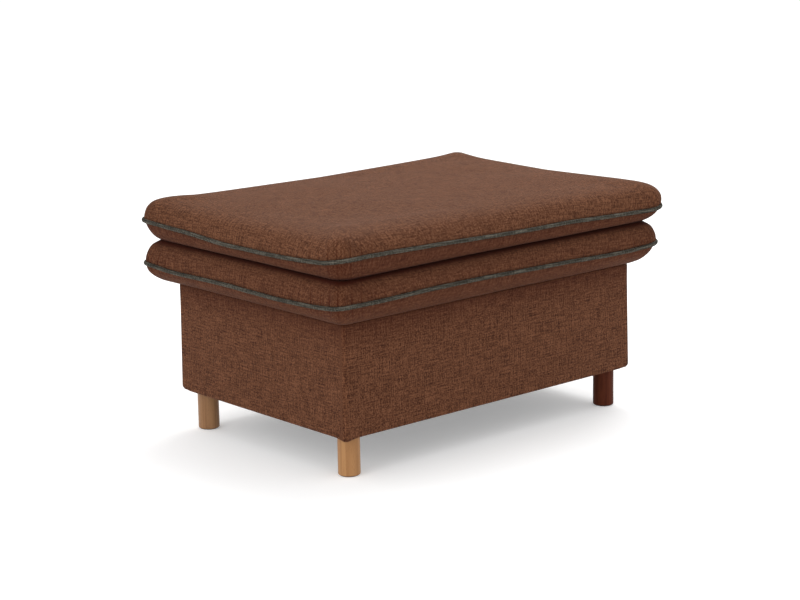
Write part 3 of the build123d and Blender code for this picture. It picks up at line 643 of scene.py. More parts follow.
def seam_height(which, turn_share):
    """Height of a seam at places round the cushion; 0 to 1 is the front, 1 to 2 the right side."""
    knots = np.array(seam_heights_mm[which], float)
    places = np.concatenate([knots[:, 0] - 4, knots[:, 0], knots[:, 0] + 4])
    heights = np.tile(knots[:, 1], 3) * MM
    around = np.interp(turn_share, places, heights)
    for _ in range(smoothing_rounds):
        around = (np.roll(around, 1) + 2 * around + np.roll(around, -1)) / 4
    return around


# %% [markdown]
# The side of a cushion is a profile: how far it stands out over the box, and how high. The seam is the
# furthest point, a sharp edge where the cloth of both halves is pulled together. Rows of points stand
# close at the seam, where the cloth turns tightly, and further apart on the smooth parts.
# %% Cushion profile
crown_cell = 10 * MM
columns_per_cell = 6
# Each row of a profile says how far out it is, as a share of the overhang, how high, as a share of the
# cushion, its corner radius in mm, and how much of the drawing-in of the sides it takes.
profile_mm = {
    "lower": {"overhang": 50.5, "seam row": 4, "rows": [
        (0.02, 0.00, 10, 0.10), (0.29, 0.045, 14, 0.30), (0.61, 0.13, 18, 0.60), (0.87, 0.265, 22, 0.90),
        (1.00, 0.437, 22, 1.00), (0.99, 0.55, 20, 1.00), (0.92, 0.72, 17, 1.00), (0.79, 0.88, 15, 1.00),
        (0.54, 1.00, 15, 1.00)]},
    "upper": {"overhang": 54.5, "seam row": 3, "rows": [
        (0.50, 0.00, 20, 1.00), (0.69, 0.07, 24, 1.00), (0.88, 0.20, 28, 1.00), (1.00, 0.374, 30, 1.00),
        (0.965, 0.54, 28, 1.00), (0.885, 0.70, 26, 1.00), (0.74, 0.82, 25, 1.00), (0.50, 0.895, 25, 0.95),
        (0.16, 0.940, 26, 0.85), (-0.25, 0.962, 26, 0.7)]},
}
# How round each corner is beside that radius: near left, near right, far right, far left.
corner_softness = {"lower": (1.0, 1.9, 1.3, 1.0), "upper": (1.3, 1.15, 0.7, 1.2)}
close_steps = np.array([0, 1.0, 2.1, 3.3, 4.8, 6.8, 9.3, 12.3, 15.8]) * MM
wide_step = 4 * MM


def outline_at(which, s, t, out, radius, draw):
    """One row of points round a cushion: out is how far it stands over the box."""
    near_left, near_right, far_right, far_left = corner_softness[which]
    softness = np.where(t < 0, np.where(s < 0, near_left, near_right), np.where(s < 0, far_left, far_right))
    return rounded(s, t, half_width + out, half_depth + out, radius * softness, draw)


def side_rows(which, bottom, top):
    """Rows (out, height, corner radius, draw) from the underside up, and how far each is from the seam."""
    facts = profile_mm[which]
    height = top - bottom
    knots = [(out * facts["overhang"] * MM, bottom + share * height, radius * MM, draw * side_draw)
             for out, share, radius, draw in facts["rows"]]
    halves = []
    for part in (knots[facts["seam row"]::-1], knots[facts["seam row"]:]):
        curve = smooth_curve(part, 0.5 * MM)
        reach = run_length(curve[:, :2])
        count = max(1, round((reach[-1] - close_steps[-1]) / wide_step))
        steps = np.concatenate([close_steps, np.linspace(close_steps[-1], reach[-1], count + 1)[1:]])
        halves.append((np.array([np.interp(steps, reach, curve[:, k]) for k in range(4)]).T, steps))
    (down, down_steps), (up, up_steps) = halves
    return np.vstack([down[:0:-1], up]), np.concatenate([-down_steps[:0:-1], up_steps])


# %% [markdown]
# Gathered cloth stands in fine ridges along the seam. They are strongest and longest round the corners,
# where the cloth has to lose length, and come and go along the straight sides. The ridges are real
# shape, worked into the rows next to the seam. Three counts of ridges that share no divisor make them
# uneven, as hand-fed cloth is.
# %% Puckers
corner_reach = 70 * MM
gather_reach = 170 * MM
# Each count of ridges, how far it wanders, and its share of the height.
ridge_counts = ((371, 2.2, 0.5), (263, 3.1, 0.4), (157, 1.7, 0.3))
drift_step, drift_rounds = 0.22, 9
# The height of the ridges in mm: anywhere, in patches, towards a corner and right at it.
ridge_anywhere, ridge_in_patches, ridge_towards_corner, ridge_at_corner = 0.2, 0.35, 0.60, 0.35
# How far from the seam they reach in mm, and how much further at a corner.
ridge_length, more_at_corner = 9, 18


def pucker_ridges(which, edge):
    """Height of the ridges at places round the cushion, how far they reach, and how near a corner is."""
    count = len(edge)
    rng = np.random.default_rng(11 if which == "upper" else 23)
    drift = np.cumsum(rng.normal(0, drift_step, count))
    drift -= np.linspace(0, drift[-1], count)
    for _ in range(drift_rounds):
        drift = (np.roll(drift, 1) + drift + np.roll(drift, -1)) / 3
    turns = np.arange(count) / count * 2 * math.pi
    ridge = sum(np.sin(turns * number + drift * wander) * share for number, wander, share in ridge_counts)
    patchy = np.abs(np.sin(turns * 17 + 1.3) * np.sin(turns * 29 + drift * 0.4))
    side_length = np.where(np.floor(edge) % 2 == 0, half_width, half_depth) * 2
    from_corner = np.abs(edge - np.round(edge)) * side_length
    near_corner = np.exp(-(from_corner / corner_reach) ** 2)
    towards_corner = np.exp(-(from_corner / gather_reach) ** 2)
    strength = (ridge_anywhere + ridge_in_patches * patchy + ridge_towards_corner * towards_corner
                + ridge_at_corner * near_corner) * MM
    return ridge * strength, (ridge_length + more_at_corner * near_corner) * MM, near_corner


# %% [markdown]
# The side of a cushion is its rows of points, each bent by what the cloth does there. The seam's rise
# and fall gets less towards the underside and the crown. A shallow groove runs along the seam for the
# piping to lie in. Both cushions bulge towards each other at the waist, the stuffing lifts the corners
# of the upper one, and one corner of each is plumper than the rest, as in the picture. Painted shade
# darkens the cloth in the pucker valleys, on the halves of the sides and in the waist notch.
# %% Cushion side
groove_depth = 2.6 * MM
groove_half_width = 2.6 * MM
waist_bulge = 4 * MM
corner_plump = 5.5 * MM
plump_share = 0.56
corner_lift = {(-1, -1): 3 * MM, (1, -1): 1.5 * MM, (1, 1): 3 * MM, (-1, 1): 3 * MM}
swell_height = 1.6 * MM
underside_shift = np.array([0.37, 0.21])
swell_from_seam = 25 * MM
# Painted shade: on each half of the side, above and below its seam; in the valleys between two ridges; and
# in the notch between the cushions.
painted_half_shade = {"lower": (0.24, 0.42), "upper": (0.0, 0.48)}
dark_ridge, painted_ridge_shade = 1.3 * MM, 0.55
painted_waist_shade, waist_reach = 1.2, 0.11


def seam_pull(which, share, seam_share):
    """How much of the seam's rise and fall the row at this share of the height takes."""
    pull = share / seam_share if share < seam_share else (1 - share) / (1 - seam_share)
    pull = pull * pull * (3 - 2 * pull)
    return 0.45 + 0.55 * pull if which == "upper" and share > seam_share else pull


def side_skin(which, bottom, top, s, t, edge):
    """Points, flat pattern and painted shade of the side, row by row, and facts for what is sewn to it."""
    rows, from_seam = side_rows(which, bottom, top)
    seam = rows[int(np.argmin(np.abs(from_seam)))]
    seam_share = (seam[1] - bottom) / (top - bottom)
    sag = seam_height(which, edge) - seam[1]
    ridges, ridge_reach, near_corner = pucker_ridges(which, edge)
    lift = np.array([corner_lift[(1 if a > 0 else -1, 1 if b > 0 else -1)] for a, b in zip(s, t)])
    plump_corner = near_corner ** 2 * ((s > 0) & (t < 0) if which == "upper" else (s < 0) & (t > 0))
    under_edge, over_edge = [np.stack(outline_at(which, s, t, row[0], row[2], row[3]), 1)
                             for row in (rows[0], rows[-1])]
    points, pattern, fold = [], [], []
    for (out, z, radius, draw), distance in zip(rows, from_seam):
        depth = groove_depth * math.exp(-(distance / groove_half_width) ** 2)
        place = np.stack(outline_at(which, s, t, out - depth, radius, draw), 1)
        normal = np.stack(outline_at(which, s, t, out - depth + 1 * MM, radius + 1 * MM, draw), 1) - place
        normal /= np.linalg.norm(normal, axis=1)[:, None]
        share = (z - bottom) / (top - bottom)
        if which == "upper":
            to_waist, waist_side = share / seam_share, -1
            to_plump = (share - seam_share) / plump_share
            fullness = lift * np.clip((share - 0.45) / 0.4, 0, 1)
        else:
            to_waist, waist_side = (1 - share) / (1 - seam_share), 1
            to_plump = (seam_share - share) / seam_share
            fullness = 0
        bulge = waist_side * waist_bulge * math.sin(math.pi * min(to_waist, 1)) * (1 - near_corner)
        plump = corner_plump * plump_corner * math.sin(math.pi * min(1, max(0, to_plump)))
        fade = np.exp(-abs(distance) / ridge_reach) * min(1, abs(distance) / (3 * MM) + 0.25)
        fade = fade * 0.5 if distance < 0 else fade
        points.append(np.column_stack([
            place + normal * (ridges * fade + plump)[:, None],
            z + sag * seam_pull(which, share, seam_share) + bulge + fullness * near_corner ** 3]))
        if distance >= 0:
            pattern.append(over_edge + normal * (from_seam[-1] - distance))
        else:
            pattern.append(under_edge + normal * (distance - from_seam[0]) + underside_shift)
        # Painted shade: in the pucker valleys, on each half of the seam, and in the notch at the waist.
        fold.append(np.clip(-ridges * fade / dark_ridge, 0, painted_ridge_shade) + painted_half_shade[which][distance < 0]
                    + painted_waist_shade * math.exp(-(to_waist / waist_reach) ** 2))
    points, pattern, fold = np.vstack(points), np.vstack(pattern), np.concatenate(fold)
    swell = wave(points, 0.33, 5 if which == "upper" else 8, 2) * swell_height
    away = np.repeat(np.clip(np.abs(from_seam) / swell_from_seam, 0, 1), len(s))
    points[:, :2] += np.tile(normal, (len(rows), 1)) * (swell * away)[:, None]
    facts = {"rows": rows, "side grid": points.reshape(len(rows), len(s), 3), "from seam": from_seam,
             "normal": normal, "places": (s, t), "seam": seam, "seam z": seam[1] + sag}
    return points, pattern, fold, facts


# %% [markdown]
# Each side is closed into one skin. The top of the upper cushion is a grid that rises to its crown and
# meets the rim of the side. The lower cushion turns in as a flat hem under the lid board, and the hem
# is what rests on the box. Where the two cushions meet, nothing shows, so one flat face closes each.
# %% Cushion builder
crown_over_box = (1.12, 1.18)
crown_inset = 0.985
crown_squareness = 2.6
rim_blend = 12 * MM
lid_hem = 26 * MM
hem_rows = ((-4 * MM, 0), (-14 * MM, 0), (-lid_hem, 0), (-lid_hem, 0.9 * MM))


def crown_grid(which, rows, rim, top, cells_x, cells_y):
    """Points and faces that close the top of a cushion inside its last row."""
    out, z, radius, draw = rows[-1]
    grid_s, grid_t = np.meshgrid(-1 + 2 * np.arange(cells_x + 1) / cells_x,
                                 -1 + 2 * np.arange(cells_y + 1) / cells_y, indexing="ij")
    gx, gy = outline_at(which, grid_s.ravel() * crown_inset, grid_t.ravel() * crown_inset, out,
                        radius * 0.9, draw)
    rise = ((1 - np.abs(gx / (half_width + out)) ** crown_squareness)
            * (1 - np.abs(gy / (half_depth + out)) ** crown_squareness))
    rise = np.clip(rise, 0, 1)
    coarse_rim = rim[::columns_per_cell]
    spread = 1 / ((gx[:, None] - coarse_rim[:, 0]) ** 2 + (gy[:, None] - coarse_rim[:, 1]) ** 2
                  + rim_blend ** 2) ** 2
    lift = spread @ (coarse_rim[:, 2] - z) / spread.sum(1)
    gz = z + (top - z) * rise ** 0.9 + lift * (1 - rise)
    crown = np.stack([gx, gy, gz], 1)
    level = crown * np.array([1, 1, 0])
    uneven = (wave(level, 0.42, 31, 2) * 1.8 + wave(level, 0.13, 47, 2) * 0.5) * MM
    crown[:, 2] += uneven * np.clip(rise * 3, 0, 1)
    return crown, *grid_cells(cells_x, cells_y)


def hem_under_lid(s, t, bottom, start):
    """Points of the hem, numbered from start, and the faces that join it to the first row of the side."""
    columns = len(s)
    points = [at_height(*outline_at("lower", s, t, out, 6 * MM, 0), bottom + rise) for out, rise in hem_rows]
    faces = [(start + c, start + (c + 1) % columns, (c + 1) % columns, c) for c in range(columns)]
    faces += flipped(ring_faces(len(hem_rows), columns, start))
    faces.append(cap(start + (len(hem_rows) - 1) * columns, columns)[::-1])
    return np.vstack(points), faces


def make_cushion(which, bottom, top):
    """The skin of one cushion, and what the piping and the seam threads need to know about it."""
    cells_x = int(round(half_width * 2 * crown_over_box[0] / crown_cell / 2)) * 2
    cells_y = int(round(half_depth * 2 * crown_over_box[1] / crown_cell / 2)) * 2
    s, t = rim_places(cells_x * columns_per_cell, cells_y * columns_per_cell)
    columns = len(s)
    edge = np.concatenate([side + np.arange(cells * columns_per_cell) / (cells * columns_per_cell)
                           for side, cells in enumerate((cells_x, cells_y, cells_x, cells_y))])
    points, pattern, fold, facts = side_skin(which, bottom, top, s, t, edge)
    rows = facts["rows"]
    last, start = (len(rows) - 1) * columns, len(points)
    faces = ring_faces(len(rows), columns)
    if which == "lower":
        faces.append(cap(last, columns))
        more, more_faces = hem_under_lid(s, t, bottom, start)
        faces += more_faces
    else:
        faces.append(cap(0, columns)[::-1])
        more, border, cells = crown_grid(which, rows, facts["side grid"][-1], top, cells_x, cells_y)
        for c in range(len(border)):
            strip = [last + (c * columns_per_cell + k) % columns for k in range(columns_per_cell + 1)]
            faces.append(tuple(strip + [start + border[(c + 1) % len(border)], start + border[c]]))
        faces += moved(cells, start)
    facts["fold"] = np.concatenate([np.clip(fold, 0, 1), np.zeros(len(more))])
    return np.vstack([points, more]), np.vstack([pattern, more[:, :2]]), faces, facts


def dress(piece, body, material):
    """Gives a piece its material and its body."""
    piece.data.materials.append(material)
    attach(piece, body)


# %% [markdown]
# The two cushions of the lid. Each is a full, firm pad, so the cover stays tight, and it stands for the
# foam, the fibre wrap and the covers of the CAD model, which lie inside the same space.
# %% Cushions
cushions = {}
for which, bottom, top in (("lower", lower_bottom, waist - 1 * MM), ("upper", waist, crown_top)):
    points, pattern, faces, facts = make_cushion(which, bottom, top)
    piece = new_piece(f"{which}_cushion_cover", points, faces, pattern, facts["fold"])
    dress(piece, "lid", cushion_cloth)
    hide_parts(*[f"{which}_cushion_{part}" for part in
                         ("foam_core", "fibre_wrap", "top_cover", "bottom_cover")])
    cushions[which] = facts
    print(which, "cushion", len(points), "points")

# %% [markdown]
# Piping is a cord wrapped in a bias strip and sewn into the seam. A bevelled curve would give the
# tube, but a mesh lets the cloth wrap show: the section swells and twists a little along its length.
# At the back the two ends of the cord meet in a short, thicker lap.
# %% Piping
pipe_sides = 12
piping_stand = 0.9 * MM
lap_place, lap_length, lap_swell = 20 * MM, 7 * MM, 0.14
twist_length, twist_swell = 4.3 * MM, 0.035
slow_length, slow_swell = 31 * MM, 0.03
for which, facts in cushions.items():
    s, t = facts["places"]
    out, _, radius, draw = facts["seam"]
    x, y = outline_at(which, s, t, out + piping_stand, radius, draw)
    line = np.stack([x, y, facts["seam z"]], 1)
    length = run_length(line)
    from_lap = np.hypot(line[:, 0] - lap_place, np.clip(half_depth - line[:, 1], 0, None))
    lap = lap_swell * np.exp(-(from_lap / lap_length) ** 4)
    wrap = np.array([1 + twist_swell * np.sin(length / twist_length * 2 + angle)
                     + slow_swell * np.sin(length / slow_length + angle) + lap
                     for angle in np.arange(pipe_sides) * 2 * math.pi / pipe_sides])
    tube_points, tube_faces, tube_pattern = closed_tube(line, piping_radius * wrap, pipe_sides)
    piece = new_piece(f"{which}_cushion_piping_cord", tube_points, tube_faces, tube_pattern)
    dress(piece, "lid", piping_cloth)
    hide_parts(f"{which}_cushion_piping")
    print(which, "piping", round(float(length[-1]), 3), "m long")

# %% [markdown]
# A line of stitches runs close to the piping on each side of it. The thread is one long strand that
# dives under the cloth at the end of each stitch, so only the stitches show.
# %% Seam stitches
stitch_columns = 3
thread_radius = 0.5 * MM
thread_dive, thread_stand = 0.9 * MM, 0.25 * MM
from_piping = 5.4 * MM
for which, facts in cushions.items():
    for label, offset in (("upper", from_piping), ("lower", -from_piping)):
        index = int(np.searchsorted(facts["from seam"], offset)) - 1
        low, high = facts["from seam"][index], facts["from seam"][index + 1]
        share = (offset - low) / (high - low)
        line = facts["side grid"][index] * (1 - share) + facts["side grid"][index + 1] * share
        dive = np.where(np.arange(len(line)) % stitch_columns == 0, -thread_dive, thread_stand)
        line[:, :2] += facts["normal"] * dive[:, None]
        tube_points, tube_faces, tube_pattern = closed_tube(line, thread_radius, 5)
        piece = new_piece(f"{which}_cushion_{label}_stitches", tube_points, tube_faces, tube_pattern)
        dress(piece, "lid", thread)

# %% [markdown]
# The box is covered in one strip of cloth that goes over the rim, down the outside and under the
# bottom edge. First comes its outline from above: columns of points round the box, whose corners are
# small arcs. The columns stand at the same places at every inset, with a pair at each end of every
# hinge notch, so the cloth can be let into the notches with straight edges.
# %% Box outline
corner_radius = 6 * MM
least_radius = 0.6 * MM
arc_steps = 8
column_step = 6 * MM
hinge_centres = (-0.26, 0.0, 0.26)
notch_half = 30.2 * MM
# Each side: the way it runs, the way it faces, its half length, and how far out it is.
sides = (((1, 0), (0, -1), half_width, half_depth), ((0, 1), (1, 0), half_depth, half_width),
         ((-1, 0), (0, 1), half_width, half_depth), ((0, -1), (-1, 0), half_depth, half_width))
back_side = 2


def side_places(half_length, has_hinges):
    """Where the columns stand along one side, with two at each end of every hinge notch."""
    end = half_length - corner_radius
    places = np.linspace(-end, end, int(2 * half_length / column_step) + 1)[1:-1]
    if has_hinges:
        for centre in hinge_centres:
            for edge in (-1, 1):
                from_centre = (places - centre) * edge
                outer = int(np.argmin(np.where(from_centre >= notch_half, from_centre, 9)))
                inner = int(np.argmax(np.where(from_centre < notch_half, from_centre, -9)))
                places[outer] = centre + edge * notch_half
                places[inner] = centre + edge * (notch_half - 0.5 * MM)
    return places


def box_outline(inset):
    """Points round the box at an inset from its outer face, the same count for each inset."""
    radius = max(corner_radius - inset, least_radius)
    ring = []
    for side, (direction, normal, half_length, half_other) in enumerate(sides):
        direction, normal = np.array(direction), np.array(normal)
        centre = -direction * (half_length - inset - radius) + normal * (half_other - inset - radius)
        for angle in np.linspace(math.pi * (1 + 0.5 * side), math.pi * (1.5 + 0.5 * side), arc_steps + 1):
            ring.append(centre + radius * np.array([math.cos(angle), math.sin(angle)]))
        places = side_places(half_length, side == back_side)
        # Only the columns in the last tenth of a side move along it when the inset changes.
        straight = 0.9 * (half_length - corner_radius)
        squeeze = (half_length - inset - radius - straight) / (half_length - corner_radius - straight)
        beyond = np.clip(np.abs(places) - straight, 0, None)
        places = np.sign(places) * (np.abs(places) - beyond + beyond * squeeze)
        ring += [direction * place + normal * (half_other - inset) for place in places]
    return np.array(ring)


# %% [markdown]
# The section of the strip is a closed line, so the cloth has its real thickness. It comes up inside the
# rim, goes over it, down the outer face and in under the frame, and then back one cloth further in.
# %% Box cover section
# Rows of inset and rise in mm: over the rim, round the bottom edge, and back over the rim inside.
over_rim_mm = ((20.6, -22), (20.6, -12), (20.6, -2), (19.4, -0.2), (14, 0), (8, 0), (3, -0.1), (0.9, -0.8),
               (0.1, -2.6))
under_edge_mm = ((0.2, 2.8), (1.3, 0.9), (3.2, 0.1), (8, 0), (16, 0), (24, 0), (24, 1), (8, 1), (2.4, 1.4),
                 (1.1, 3.4))
back_over_rim_mm = ((1.1, -2.8), (2, -1.2), (14, -1), (19.4, -1.4), (19.6, -22))


def section_part(rows_mm, height):
    """Places (inset, height) in metres from rows in mm, whose rise counts from a height."""
    return [(inset * MM, height + rise * MM) for inset, rise in rows_mm]


side_levels = np.concatenate([np.arange(box_bottom + 4 * MM, box_bottom + 10 * MM, 2 * MM),
                              np.arange(box_bottom + 12 * MM, rim_top - 5 * MM, 6 * MM)])
section = (section_part(over_rim_mm, rim_top) + [(0.0, z) for z in side_levels[::-1]]
           + section_part(under_edge_mm, box_bottom) + [(cloth, z) for z in side_levels[2::4]]
           + section_part(back_over_rim_mm, rim_top))
section_travel = run_length(np.array(section))

# %% [markdown]
# The section goes once round the box, and then the cloth behaves as cloth. It is a little slack on the
# faces and stands out more towards its hem. A seam draws it in at each corner. The hem hangs lowest at
# the near corner, and is turned in round the others. At the back it is let into the hinge notches, and
# just under the lid its colour gets painted shade, for the shadow that the lid casts.
# %% Box cover
most_slack, slack_from_corner = 0.9 * MM, 12 * MM
most_flare, flare_top = 2.2 * MM, 0.26
seam_half_width, seam_depth = 2.45 * MM, 0.7 * MM
hem_corner_reach = 16 * MM
hem_droop, droop_height = 4 * MM, 14 * MM
hem_turn, turn_height = 7 * MM, 9 * MM
notch_cloth, notch_depth = rim_top - 1.35 * MM, 22 * MM
lid_shade, lid_shade_reach = 0.50, 34 * MM

outer_ring = box_outline(0)
columns = len(outer_ring)
ring_place = run_length(outer_ring)
cover_points = np.vstack([at_height(*box_outline(inset).T, z) for inset, z in section])
cover_pattern = np.vstack([np.column_stack([ring_place, np.full(columns, -travel)])
                           for travel in section_travel])
# These three follow the points as they move.
x, y, z = cover_points.T
to_corner = np.abs(outer_ring) - (half_width, half_depth)
from_corner = np.tile(np.hypot(*to_corner.T), len(section))
face_part = np.clip((rim_top - 4 * MM - z) / (20 * MM), 0, 1)
face_part *= np.clip((z - box_bottom - 3 * MM) / (20 * MM), 0, 1)
outward = np.column_stack([np.where(np.abs(x) > half_width - 2 * MM, np.sign(x), 0),
                           np.where(np.abs(y) > half_depth - 2 * MM, np.sign(y), 0)])
slack = wave(cover_points, 0.3, 77, 3) * face_part * (from_corner >= slack_from_corner) * most_slack
flare = most_flare * np.clip((flare_top - z) / (flare_top - box_bottom), 0, 1)
cover_points[:, :2] += outward * (slack + flare)[:, None]
corner_seam = (from_corner < seam_half_width) * face_part * seam_depth
cover_points[:, :2] -= np.sign(cover_points[:, :2]) * corner_seam[:, None]

hem_corner = np.exp(-(from_corner / hem_corner_reach) ** 2)
at_near_corner = (x < 0) & (y < 0)
z -= hem_corner * at_near_corner * hem_droop * np.clip(1 - (z - box_bottom) / droop_height, 0, 1)
turned = np.clip(1 - (z - box_bottom) / turn_height, 0, 1)
turned_in = (1 - np.sqrt(1 - turned ** 2)) * hem_corner * (outward != 0).any(axis=1) * hem_turn
cover_points[:, :2] -= np.sign(cover_points[:, :2]) * (turned_in * ~at_near_corner)[:, None]

from_hinge = np.min([np.abs(x - centre) for centre in hinge_centres], axis=0)
in_notch = (y > half_depth - notch_depth) & (from_hinge < notch_half - 0.2 * MM)
is_inner_face = np.repeat(np.arange(len(section)) > len(section) // 2, columns)
notch_floor = np.where(is_inner_face, notch_cloth - 0.12 * MM, notch_cloth)
z[in_notch] = np.minimum(z, notch_floor)[in_notch]
# Painted shadow of the lid: the cloth just under it is darker.
painted_lid_shadow = lid_shade * np.exp(-(np.clip(lower_bottom - z, 0, None) / lid_shade_reach) ** 1.5)
box_cover = new_piece("box_cloth_cover", cover_points, ring_faces(len(section), columns, closed_rows=True),
                      cover_pattern, painted_lid_shadow)
dress(box_cover, "base", base_cloth)
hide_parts("base_cover", "base_wadding")

# %% [markdown]
# Flat cloths are sheets with a real thickness: two layers of points on a grid, joined round the edge.
# Both the cloth under the lid board and the dust cloth under the box are stretched and tacked, so they
# only ripple a little, and the dust cloth hangs slightly in its middle.
# %% Flat cloths
flat_cell = 12 * MM
ripple_height = 0.5 * MM
leg_hole = 9 * MM


def grid_layer(half_x, half_y, radius):
    """A grid of places over a rounded rectangle, its border in order, and its faces."""
    count_x, count_y = int(round(2 * half_x / flat_cell)), int(round(2 * half_y / flat_cell))
    grid_s, grid_t = np.meshgrid(np.linspace(-1, 1, count_x + 1), np.linspace(-1, 1, count_y + 1),
                                 indexing="ij")
    x, y = rounded(grid_s.ravel(), grid_t.ravel(), half_x, half_y, radius, 0)
    return x, y, *grid_cells(count_x, count_y)


def flat_cloth(name, half_x, half_y, low, thick, hang, seed, holes=()):
    """A thin sheet over a rectangle, with a slight hang in its middle and a hole at each place in holes."""
    x, y, _, cells = grid_layer(half_x, half_y, 0.8 * MM)
    middle = (1 - (x / half_x) ** 2) * (1 - (y / half_y) ** 2)
    ripple = (wave(at_height(x, y, 0), 0.16, seed, 2) - 1) * ripple_height
    under = np.column_stack([x, y, low - hang * middle + ripple * np.clip(middle * 4, 0, 1)])
    count = len(x)
    for hole_x, hole_y in holes:
        cells = [cell for cell in cells
                 if np.hypot(x[list(cell)].mean() - hole_x, y[list(cell)].mean() - hole_y) > leg_hole]
    edges = [edge for cell in cells for edge in zip(cell, cell[1:] + cell[:1])]
    shared = set(edges)
    faces = flipped(cells) + moved(cells, count)
    faces += [(a, b, b + count, a + count) for a, b in edges if (b, a) not in shared]
    used = sorted({v for face in faces for v in face})
    new_number = {v: i for i, v in enumerate(used)}
    points = np.vstack([under, under + (0, 0, thick)])[used]
    return new_piece(name, points, [tuple(new_number[v] for v in face) for face in faces], points[:, :2])


lid_cloth_low, lid_cloth_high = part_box("lid_underside_cloth")
lid_lining = flat_cloth("lid_lining_cloth", lid_cloth_high.x, lid_cloth_high.y, lid_cloth_low.z,
                        lid_cloth_high.z - lid_cloth_low.z, 0, 61)
dress(lid_lining, "lid", lining_cloth)
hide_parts("lid_underside_cloth")
dust_low, dust_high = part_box("dust_cover")
leg_low, leg_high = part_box("leg_front_right")
leg_x, leg_y = (leg_low.x + leg_high.x) / 2, -(leg_low.y + leg_high.y) / 2
leg_places = [(sx * leg_x, sy * leg_y) for sx in (-1, 1) for sy in (-1, 1)]
dust_sheet = flat_cloth("dust_cloth_sheet", dust_high.x, dust_high.y, dust_low.z,
                        dust_high.z - dust_low.z, 2 * MM, 67, leg_places)
dress(dust_sheet, "base", dust_cloth)
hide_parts("dust_cover")
print("flat cloths", len(lid_lining.data.vertices), len(dust_sheet.data.vertices), "points")

# %% [markdown]
# The lining of the storage space is a cloth tray: a floor, and walls that are tacked under the rim. The
# long walls stand off their panels a little and ripple, while the short ones lie flat behind the rails
# of the lid stays.
# %% Storage lining
lining_low, lining_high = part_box("storage_lining")
lining_radius = 5 * MM
wall_ripple = (1.6, 1.2)
wall_steps = np.linspace(0, 1, 20)[1:]


def tray_layer(inset):
    """One face of the lining, from its floor to the walls and up to the rim, and where its rim begins."""
    half_x, half_y = lining_high.x - inset, lining_high.y - inset
    floor_z = lining_low.z + inset
    x, y, border, cells = grid_layer(half_x - lining_radius, half_y - lining_radius, 0.05 * MM)
    layer = [at_height(x, y, floor_z)]
    flat = [np.column_stack([x, y])]
    edge_place = flat[0][border]
    on_edge = np.abs(edge_place) > (half_x - lining_radius - 0.1 * MM, half_y - lining_radius - 0.1 * MM)
    out = np.where(on_edge, np.sign(edge_place), 0)
    bends = [(math.sin(turn), 1 - math.cos(turn)) for turn in (0.4, 0.8, 1.2, math.pi / 2)]
    rise = lining_high.z - floor_z - lining_radius
    profile = [(lining_radius * a, lining_radius * b) for a, b in bends]
    profile += [(lining_radius, lining_radius + rise * step) for step in wall_steps]
    for out_by, up_by in profile:
        place = edge_place + out * out_by
        slack = np.sin(math.pi * np.clip(up_by / (rise + lining_radius), 0, 1))
        uneven = wave(at_height(*place.T, up_by), 0.12, 71, 2)
        ripple = wall_ripple[0] + wall_ripple[1] * uneven
        long_wall = np.clip((half_x - 40 * MM - np.abs(place[:, 0])) / (60 * MM), 0, 1)
        place[:, 1] -= out[:, 1] * ripple * slack * long_wall * MM
        layer.append(at_height(*place.T, floor_z + up_by))
        flat.append(edge_place + out * (out_by + up_by))
    faces = list(cells)
    start = len(x)
    columns = len(border)
    for c in range(columns):
        d = (c + 1) % columns
        faces.append((border[d], border[c], start + c, start + d))
    for r in range(len(profile) - 1):
        a, b = start + r * columns, start + (r + 1) * columns
        faces += [(a + (c + 1) % columns, a + c, b + c, b + (c + 1) % columns) for c in range(columns)]
    return np.vstack(layer), np.vstack(flat), faces, start + (len(profile) - 1) * columns


outer_points, outer_flat, outer_faces, outer_rim = tray_layer(0)
inner_points, inner_flat, inner_faces, inner_rim = tray_layer(cloth)
shift = len(outer_points)
tray_faces = flipped(outer_faces) + moved(inner_faces, shift)
rim_columns = len(outer_points) - outer_rim
for c in range(rim_columns):
    d = (c + 1) % rim_columns
    tray_faces.append((outer_rim + c, outer_rim + d, shift + inner_rim + d, shift + inner_rim + c))
lining = new_piece("storage_lining_cloth", np.vstack([outer_points, inner_points]), tray_faces,
                   np.vstack([outer_flat, inner_flat]))
dress(lining, "base", lining_cloth)
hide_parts("storage_lining")
print("storage lining", len(lining.data.vertices), "points")

# %% [markdown]
# A tape joins the two cushions deep in the notch between them. It is a flat band with rounded edges,
# so its section goes once round the notch, along the same drawn-in outline that the cushions have.
# %% Waist tape
tape_low, tape_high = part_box("waist_tape")
tape_radius = 16 * MM
s, t = rim_places(160, 110)
# The tape's section: rows of inset in mm, and the share of its thickness.
tape_section = [(0, 0.15), (0, 0.85), (0.4, 1), (13.6, 1), (14, 0.85), (14, 0.15), (13.6, 0), (0.4, 0)]
tape_rows, tape_flat = [], []
for inset, level in tape_section:
    out = tape_high.x - half_width - inset * MM
    x, y = rounded(s, t, half_width + out, half_depth + out, tape_radius, side_draw)
    tape_rows.append(at_height(x, y, tape_low.z + level * (tape_high.z - tape_low.z)))
    tape_flat.append(np.column_stack([x, y]))
tape_faces = flipped(ring_faces(len(tape_section), len(s), closed_rows=True))
tape = new_piece("cushion_joining_tape", np.vstack(tape_rows), tape_faces, np.vstack(tape_flat))
dress(tape, "lid", cushion_cloth)
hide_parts("waist_tape")
print("tape", len(tape.data.vertices), "points")

# %% [markdown]
# A felt disc under each leg keeps it from marking the floor. Felt is cut with a punch, so its edge is
# soft and a little uneven, and no two discs are quite alike.
# %% Felt discs
disc_low, disc_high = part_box("leg_glides")
disc_radius = disc_high.x - leg_x
disc_sides = 48
